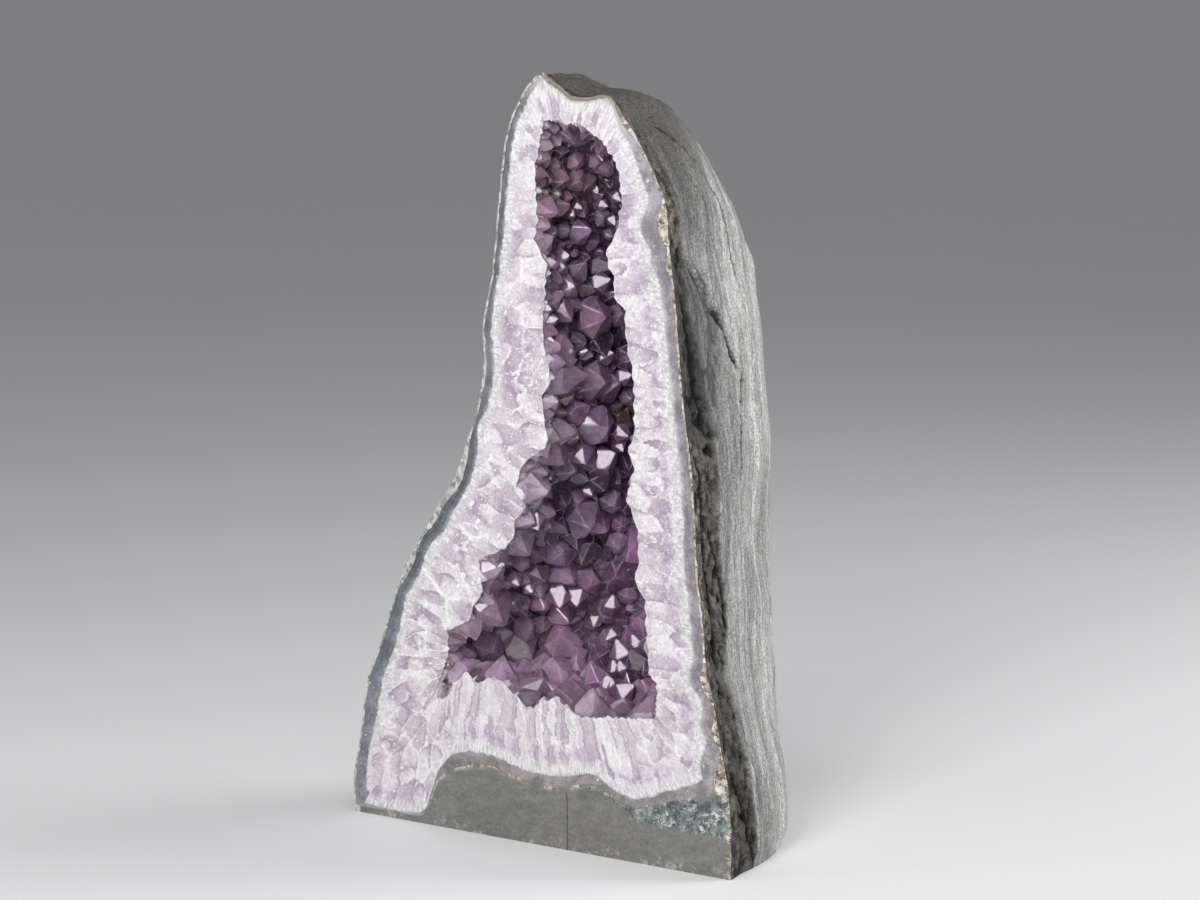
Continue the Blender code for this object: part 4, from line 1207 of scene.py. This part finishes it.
def sight(px, py):
    """Start in metres and direction of the line through a pixel of the 1200 x 900 picture."""
    back = towards(AZIMUTH, ELEVATION)
    right = Vector((math.cos(math.radians(AZIMUTH)), math.sin(math.radians(AZIMUTH)), 0))
    up = back.cross(right)
    scale = SENSOR / LENS / PICTURE[0]
    ray = right * ((px - PICTURE[0] / 2) * scale) - up * ((py - PICTURE[1] / 2) * scale) - back
    return TARGET + back * DISTANCE, ray.normalized()


# Crystals

KEY_AZIMUTH, KEY_ELEVATION, KEY_DISTANCE = 16.0, 26.0, 1.3
AIM = Vector((0.02, -0.03, 0.2))
KEY_PLACE = AIM + towards(KEY_AZIMUTH, KEY_ELEVATION) * KEY_DISTANCE

# Large crystals that show: pixel of the picture, width in mm, and how pale
SHOWN = [
    (552, 126, 9.5, 0.42), (555, 139, 9, 0.34), (576, 138, 10, 0.22), (543, 161, 9, 0.45), (574, 160, 11, 0.18),
    (595, 160, 9.5, 0.2), (607, 167, 11, 0.26), (574, 179, 13, 0.2), (541, 194, 9, 0.55), (554, 194, 9, 0.3),
    (546, 211, 11, 0.36), (578, 203, 10, 0.2), (600, 217, 11, 0.3), (548, 232, 10, 0.5), (561, 229, 10, 0.12),
    (608, 234, 8, 0.2), (557, 269, 12, 0.26), (564, 288, 15, 0.2), (588, 318, 26, 0.0), (615, 315, 15, 0.12),
    (589, 379, 23, 0.26), (591, 424, 25, 0.2), (561, 352, 17, 0.16), (615, 370, 16, 0.16), (626, 396, 13, 0.24),
    (563, 464, 18, 0.1), (584, 481, 19, 0.2), (535, 468, 15, 0.4), (540, 402, 14, 0.45), (557, 548, 30, 0.3),
    (579, 514, 29, 0.18), (588, 580, 18, 0.24), (523, 628, 17, 0.3), (565, 646, 27, 0.4), (486, 646, 20, 0.4),
    (489, 582, 13, 0.3), (459, 591, 19, 0.8), (443, 692, 12, 0.05), (507, 675, 17, 0.34), (557, 678, 24, 0.02),
    (629, 594, 12, 0.2), (610, 640, 14, 0.2), (620, 668, 14, 0.18), (600, 700, 14, 0.14), (640, 690, 11, 0.26),
    (520, 600, 12, 0.2), (540, 600, 14, 0.3), (470, 620, 14, 0.5), (500, 700, 13, 0.3), (530, 692, 12, 0.35),
    (610, 500, 15, 0.2), (520, 560, 14, 0.14), (618, 540, 15, 0.22), (606, 455, 13, 0.26), (530, 500, 14, 0.2),
    (545, 520, 12, 0.1),
]
# Facets that mirror the key light: pixel and width of the crystal in mm
GLINTS = [
    (552, 320, 7), (543, 309, 6), (583, 351, 6), (607, 355, 9), (625, 376, 9), (566, 395, 10), (622, 434, 11),
    (571, 435, 11), (581, 455, 14), (606, 459, 14), (620, 447, 8), (548, 475, 8), (541, 487, 10), (589, 492, 7),
    (515, 581, 9), (507, 605, 12), (560, 598, 13), (577, 597, 13), (595, 622, 7), (612, 603, 9), (613, 636, 10),
    (621, 650, 12), (615, 667, 8), (609, 683, 9), (615, 689, 10), (626, 691, 12), (535, 522, 12), (545, 487, 9),
    (651, 702, 7), (602, 282, 12), (602, 156, 7), (596, 190, 5), (613, 221, 6), (618, 198, 6), (578, 207, 6),
    (585, 134, 7), (447, 674, 7), (484, 683, 8), (622, 668, 8), (636, 642, 9), (529, 589, 7), (603, 205, 6),
]
# Widths of the others at a height, in mm, and their rounds: share of that width, tries and spacing
WIDTHS = [(60, 20.0), (150, 20.0), (230, 18.0), (300, 14.0), (400, 12.0)]
FILL = [(1.15, 700, 0.6), (0.85, 1400, 0.6), (0.6, 2000, 0.64), (0.4, 1100, 0.78)]
RHOMB = math.radians(51.8)  # between a quartz crystal's axis and the normal of a tip face
TEMPLATES = 26
BEVEL = 0.045  # of a crystal's radius
GLINT_GROWTH = 1.2
SHOWN_SPACING = 0.45
WIDEST_SHOWN = 24
SHEET_COLUMNS = 260
SHEET_IN = 4.0
SAW = FACE_Y + 1.1  # crystals that would stick out are cut here
SAWN_OFF = 0.3  # and they are pushed back until no more than this is cut
ROSY, MAUVE, VIOLET = np.array([(0.84, 0.58, 0.78), (0.65, 0.43, 0.62), (0.44, 0.23, 0.46)])
SMOKY, BROWN, PALE = np.array([(0.9, 0.58, 0.8), (0.66, 0.38, 0.4), (0.78, 0.64, 0.77)])


def cut(faces, normal, reach_mm):
    """The part of a convex solid with normal . p below reach_mm; faces are loops of points."""
    left_faces, rim = [], []
    for loop in faces:
        new = []
        for a, b in zip(loop, loop[1:] + loop[:1]):
            da, db = a.dot(normal) - reach_mm, b.dot(normal) - reach_mm
            if da <= 0:
                new.append(a)
            if (da < 0 < db) or (db < 0 < da):
                point = a + (b - a) * (da / (da - db))
                new.append(point)
                rim.append(point)
        if len(new) > 2:
            left_faces.append(new)
    if len(rim) > 2:
        middle = sum(rim, Vector()) / len(rim)
        first = (rim[0] - middle).normalized()
        second = normal.cross(first)
        rim.sort(key=lambda q: math.atan2((q - middle).dot(second), (q - middle).dot(first)))
        loop = [q for k, q in enumerate(rim) if (q - rim[k - 1]).length > 1e-4]
        if len(loop) > 2:
            left_faces.append(loop)
    return left_faces


def quartz_point(chance, shaft):
    """A crystal of radius 1 with its shoulder near height 0, as face loops. Tip faces are uneven."""
    big = (-4.0, 4.0)
    corners = [Vector((x, y, z)) for x in big for y in big for z in big]
    box = [(0, 1, 3, 2), (4, 6, 7, 5), (0, 4, 5, 1), (2, 3, 7, 6), (0, 2, 6, 4), (1, 5, 7, 3)]
    faces = [[corners[k] for k in side] for side in box]
    faces = cut(faces, Vector((0, 0, -1)), shaft)
    uneven = chance.uniform(0.0, 0.15)
    sides = [Vector((math.cos(math.tau * k / 6), math.sin(math.tau * k / 6), 0)) for k in range(6)]
    for out in sides:
        faces = cut(faces, out, 0.87 * chance.uniform(0.84, 1.1))
    for k, out in enumerate(sides):
        height = 1.1 + (uneven if k % 2 else -uneven * 0.6) + chance.uniform(-0.09, 0.09)
        normal = out * math.sin(RHOMB) + Vector((0, 0, math.cos(RHOMB)))
        faces = cut(faces, normal, height * math.cos(RHOMB))
    return faces


def loops_to_mesh(faces, bevel):
    """Vertices and faces of a loop list, with its edges bevelled, and which faces are the bevels."""
    bm = bmesh.new()
    for loop in faces:
        bm.faces.new([bm.verts.new(q) for q in loop])
    bmesh.ops.remove_doubles(bm, verts=bm.verts, dist=1e-3)
    bmesh.ops.dissolve_degenerate(bm, edges=bm.edges, dist=1e-3)
    bmesh.ops.recalc_face_normals(bm, faces=bm.faces)
    bevels = set()
    if bevel:
        made = bmesh.ops.bevel(bm, geom=list(bm.edges), offset=bevel, segments=1, profile=0.5, affect="EDGES")
        bevels = set(made["faces"])
        bmesh.ops.remove_doubles(bm, verts=bm.verts, dist=1e-4)
    bm.verts.index_update()
    points = np.array([v.co for v in bm.verts])
    loops = [[v.index for v in f.verts] for f in bm.faces]
    edges = [float(f in bevels) for f in bm.faces]
    bm.free()
    return points, loops, edges


def make_shapes(chance):
    """Crystals to choose from: face loops, then points, faces and bevels of the bevelled one."""
    shapes = []
    for _ in range(TEMPLATES):
        faces = quartz_point(chance, chance.uniform(0.9, 1.3))
        shapes.append((faces, *loops_to_mesh(faces, BEVEL)))
    return shapes


def set_crystal(shape, root, axis, width, turn, stretch=1.0, spin=None, saw=None):
    """One crystal in place, in millimetres, with what is in front of the saw plane cut off."""
    faces, points, loops, edges = shape
    axis = Vector(axis).normalized()
    first = axis.orthogonal().normalized() if spin is None else Vector(spin).normalized()
    side = first * math.cos(turn) + axis.cross(first) * math.sin(turn)
    matrix = np.array([side, axis.cross(side), axis]) * (width / 2)
    matrix[2] *= stretch
    root = np.array(root, float)
    made = points @ matrix + root
    if saw is not None and made[:, 1].min() < saw:
        placed = [[Vector(np.array(q) @ matrix + root) for q in loop] for loop in faces]
        placed = cut(placed, Vector((0, -1, 0)), -saw)
        if len(placed) < 4:
            return None, None, None
        made, loops, edges = loops_to_mesh(placed, 0.0)
    return made, loops, edges


class Crust:
    """The crystals of the hollow and the sheet that they stand on."""

    def __init__(self):
        self.chance = random.Random(SEED)
        self.shell = Shell()
        self.placed = np.empty((0, 4))  # root and width
        self.make_sheet()
        self.shapes = make_shapes(self.chance)

    def make_sheet(self):
        """The closed sheet between the quartz and the crystals."""
        line = resample(mouth_line, SHEET_COLUMNS)[:-1]
        mouth_out = line - side_of(line) * 2.0
        backs = np.array([0.012, 0.035, 0.07, 0.12, 0.18, *np.sin(np.linspace(0.24, 1.4, 30))])
        rows = hollow_behind(line).rows(backs)
        normal = outward_normals(rows)
        inner = rows - normal * (SHEET_IN + 1.2 * grain(rows, 9.0, 3))[..., None]
        share = ramp(backs * QUARTZ_DEPTH, 0.5, 13.0)[:, None, None]
        mouth_rows = np.stack([on_face(mouth_out, b * QUARTZ_DEPTH) for b in backs])
        inner = inner * share + mouth_rows * (1 - share)
        inner[..., 1] = np.maximum(inner[..., 1], FACE_Y + 1.0)
        outer = (rows - normal * 0.5) * share + mouth_rows * (1 - share)
        outer += (mouth_rows - mouth_rows.mean(axis=1, keepdims=True)) * 0.01 * (1 - share)
        # The sheet between the crystals is painted at half the crystals' colour: painted shade
        self.shell.grid(inner, [0, 0, 0], tint=self.tints(inner.reshape(-1, 3), 0.0) * 0.5)
        self.shell.grid(np.concatenate([inner[:1], outer[1:]]), [0, 4, 0], tint=(0.2, 0.2, 0.2))
        self.roots = inner.reshape(-1, 3)
        self.normals = -outward_normals(inner).reshape(-1, 3)
        self.tree = BVHTree.FromPolygons((self.roots * MM).tolist(), grid_faces(*inner.shape[:2]))
        along = np.roll(inner, -1, axis=1) - inner
        area = np.linalg.norm(np.cross(along, np.gradient(inner, axis=0)), axis=2)
        self.weights = (area / area.sum()).ravel().cumsum()

    def tints(self, points, pale):
        """Colour of the amethyst at points: rosy at the mouth, deep violet further in, partly its own colour and
        partly painted shade of the hollow's depth.
        """
        x, deep, z = points[:, :1], points[:, 1:2] - FACE_Y, points[:, 2:]
        tint = ROSY
        for share, colour in (
            (ramp(deep, 0.0, 14.0), MAUVE),
            (ramp(deep, 14.0, 48.0), VIOLET),
            (0.65 * (ramp(x, 22.0, -48.0) * ramp(z, 190.0, 120.0)), SMOKY),
            (0.7 * (ramp(x, 14.0, 2.0) * bump(z, 352.0, 26.0)), BROWN),
        ):
            tint = tint * (1 - share) + colour * share
        tint = tint * (1 - 0.2 * ramp(z, 170.0, 270.0))
        return tint * (1 - pale) + PALE * pale

    def grow(self, root, axis, width, pale=0.0, turn=None, light=(0.4, 0.55, 0.75, 1.0, 1.25, 1.6), **pose):
        """Add one crystal, in millimetres."""
        shape = self.shapes[self.chance.randrange(len(self.shapes))]
        turn = self.chance.uniform(0, math.tau) if turn is None else turn
        root = np.array(root, float)
        made, _, _ = set_crystal(shape, root, axis, width, turn, **pose)
        root[1] += max(SAW - SAWN_OFF - made[:, 1].min(), 0.0)
        made, loops, edges = set_crystal(shape, root, axis, width, turn, **pose, saw=SAW)
        if made is None:
            return
        height = (made - root) @ np.array(Vector(axis).normalized()) / (width / 2)
        # Painted shade: each crystal darker towards its base, where the crystals crowd together
        shade = 0.32 + 0.68 * ramp(height, -0.9, 0.6)
        own = self.chance.choice(light)
        warm = np.array([self.chance.uniform(*span) for span in ((0.94, 1.1), (0.9, 1.06), (0.94, 1.08))])
        tint = self.tints(made, pale) * shade[:, None] * (1 + (own - 1) * (1 - pale)) * warm
        self.shell.add(made, loops, edges, tint=np.clip(tint, 0, 0.95))
        self.placed = np.vstack([self.placed, [*root, width]])

    def free(self, root, width, spacing):
        """Whether a crystal of this width has room here."""
        gap = np.linalg.norm(self.placed[:, :3] - root, axis=1)
        return not np.any(gap < spacing * (self.placed[:, 3] + width) / 2)

    def shaken(self, direction, spread):
        """The direction with a random part added."""
        return Vector(direction) + Vector([self.chance.gauss(0, spread) for _ in range(3)])

    def seen(self, spots):
        """For pixels that see the sheet: where, along which ray, the normal there and the spot's values."""
        for px, py, *values in spots:
            start, ray = sight(px, py)
            hit, _, index, _ = self.tree.ray_cast(start, ray)
            if hit is not None:
                yield hit, ray, self.normals[index], *values

    def grow_shown(self):
        """The large crystals that stand out in the photo."""
        for hit, ray, normal, width, pale in self.seen(SHOWN):
            axis = (self.shaken(normal, 0.15) - ray * 0.55).normalized()
            root = np.array(hit) / MM + np.array(axis) * width * 0.22
            if self.free(root, width, SHOWN_SPACING):
                width, stretch = min(width, WIDEST_SHOWN), self.chance.uniform(0.8, 1.0)
                self.grow(root, axis, width, pale + 0.12, stretch=stretch, light=(1.15, 1.35, 1.6))

    def grow_glints(self):
        """Crystals turned so that one tip face mirrors the key light towards the camera."""
        for hit, ray, normal, width in self.seen(GLINTS):
            width *= GLINT_GROWTH
            mirror = ((KEY_PLACE - hit).normalized() - ray).normalized()
            wish = self.shaken(normal, 0.35)
            aside = (wish - mirror * wish.dot(mirror)).normalized()
            axis = mirror * math.cos(RHOMB) + aside * math.sin(RHOMB)
            spin = (mirror - axis * mirror.dot(axis)).normalized()
            root = np.array(hit) / MM - np.array(ray) * width * 0.75
            turn = self.chance.choice([0, 1]) * math.tau / 3
            self.grow(root, axis, width, 0.12, turn=turn, spin=spin, light=(0.9, 1.2))

    def grow_random(self):
        """The others, the largest first."""
        for scale, tries, spacing in FILL:
            for _ in range(tries):
                k = int(np.searchsorted(self.weights, self.chance.random()))
                root = self.roots[k] + np.array([self.chance.uniform(-2, 2) for _ in range(3)])
                width = np.interp(root[2], *zip(*WIDTHS)) * scale * self.chance.uniform(0.8, 1.2)
                if self.free(root, width, spacing):
                    axis = self.shaken(self.normals[k], 0.22)
                    root = root + np.array(axis.normalized()) * width * self.chance.uniform(-0.05, 0.22)
                    pale = 0.36 * ramp(root[1] - FACE_Y, 17.0, 5.0) * ramp(root[2], 310.0, 230.0)
                    self.grow(root, axis, width, pale, stretch=self.chance.uniform(0.85, 1.1))


# Floor, light and camera

def area_light(name, azimuth, elevation, distance, size, power):
    """A lamp that looks at the middle of the hollow."""
    away = towards(azimuth, elevation)
    data = bpy.data.lights.new(name, "AREA")
    data.shape = "RECTANGLE"
    data.size, data.size_y = size
    data.energy = power
    lamp = bpy.data.objects.new(name, data)
    lamp.location = AIM + away * distance
    lamp.rotation_euler = (-away).to_track_quat("-Z", "Y").to_euler()
    bpy.context.scene.collection.objects.link(lamp)


def make_floor():
    mesh = bpy.data.meshes.new("floor")
    corners = [(-60, -60, 0), (60, -60, 0), (60, 60, 0), (-60, 60, 0)]
    mesh.from_pydata(corners, [], [(0, 1, 2, 3)])
    floor = bpy.data.objects.new("floor", mesh)
    bpy.context.scene.collection.objects.link(floor)
    p = Paint("pale_floor")
    colour = p.blend(p.noise(3.0, 2.0), (0.87, 0.87, 0.875), (0.9, 0.9, 0.905))
    mesh.materials.append(p.finish(Base_Color=colour, Roughness=0.6))


def light_scene():
    world = bpy.data.worlds.new("studio")
    bpy.context.scene.world = world
    world.use_nodes = True
    world.node_tree.nodes["Background"].inputs[0].default_value = (0.23, 0.23, 0.24, 1)
    area_light("key", KEY_AZIMUTH, KEY_ELEVATION, KEY_DISTANCE, (0.5, 0.5), 8.5)
    area_light("side", 132, 20, 1.6, (0.9, 0.9), 17)
    area_light("front", 26, 8, 2.0, (0.7, 0.7), 3.2)
    area_light("left", -36, 12, 1.5, (0.6, 0.9), 4)
    area_light("above", 34, 60, 1.4, (0.8, 0.5), 4)
    scene = bpy.context.scene
    scene.view_settings.view_transform = "Standard"
    scene.view_settings.look = "None"


make_camera()
make_floor()
light_scene()

back_piece = rock_back()
wear(back_piece, rock_material(), "basalt_rind")
face_piece = rock_face()
wear(face_piece, rock_face_material(), "basalt_rind")
crust = Crust()
band = Band()
band.grow_edge(crust.shapes, random.Random(SEED + 1))
band_piece = band.shell.build("agate_quartz_band", sharp=24)
wear(band_piece, quartz_material(), "quartz_wall")
crust.grow_glints()
crust.grow_shown()
crust.grow_random()
crust_piece = crust.shell.build("amethyst_crystals", smooth=False)
wear(crust_piece, amethyst_material(), "amethyst_crust")
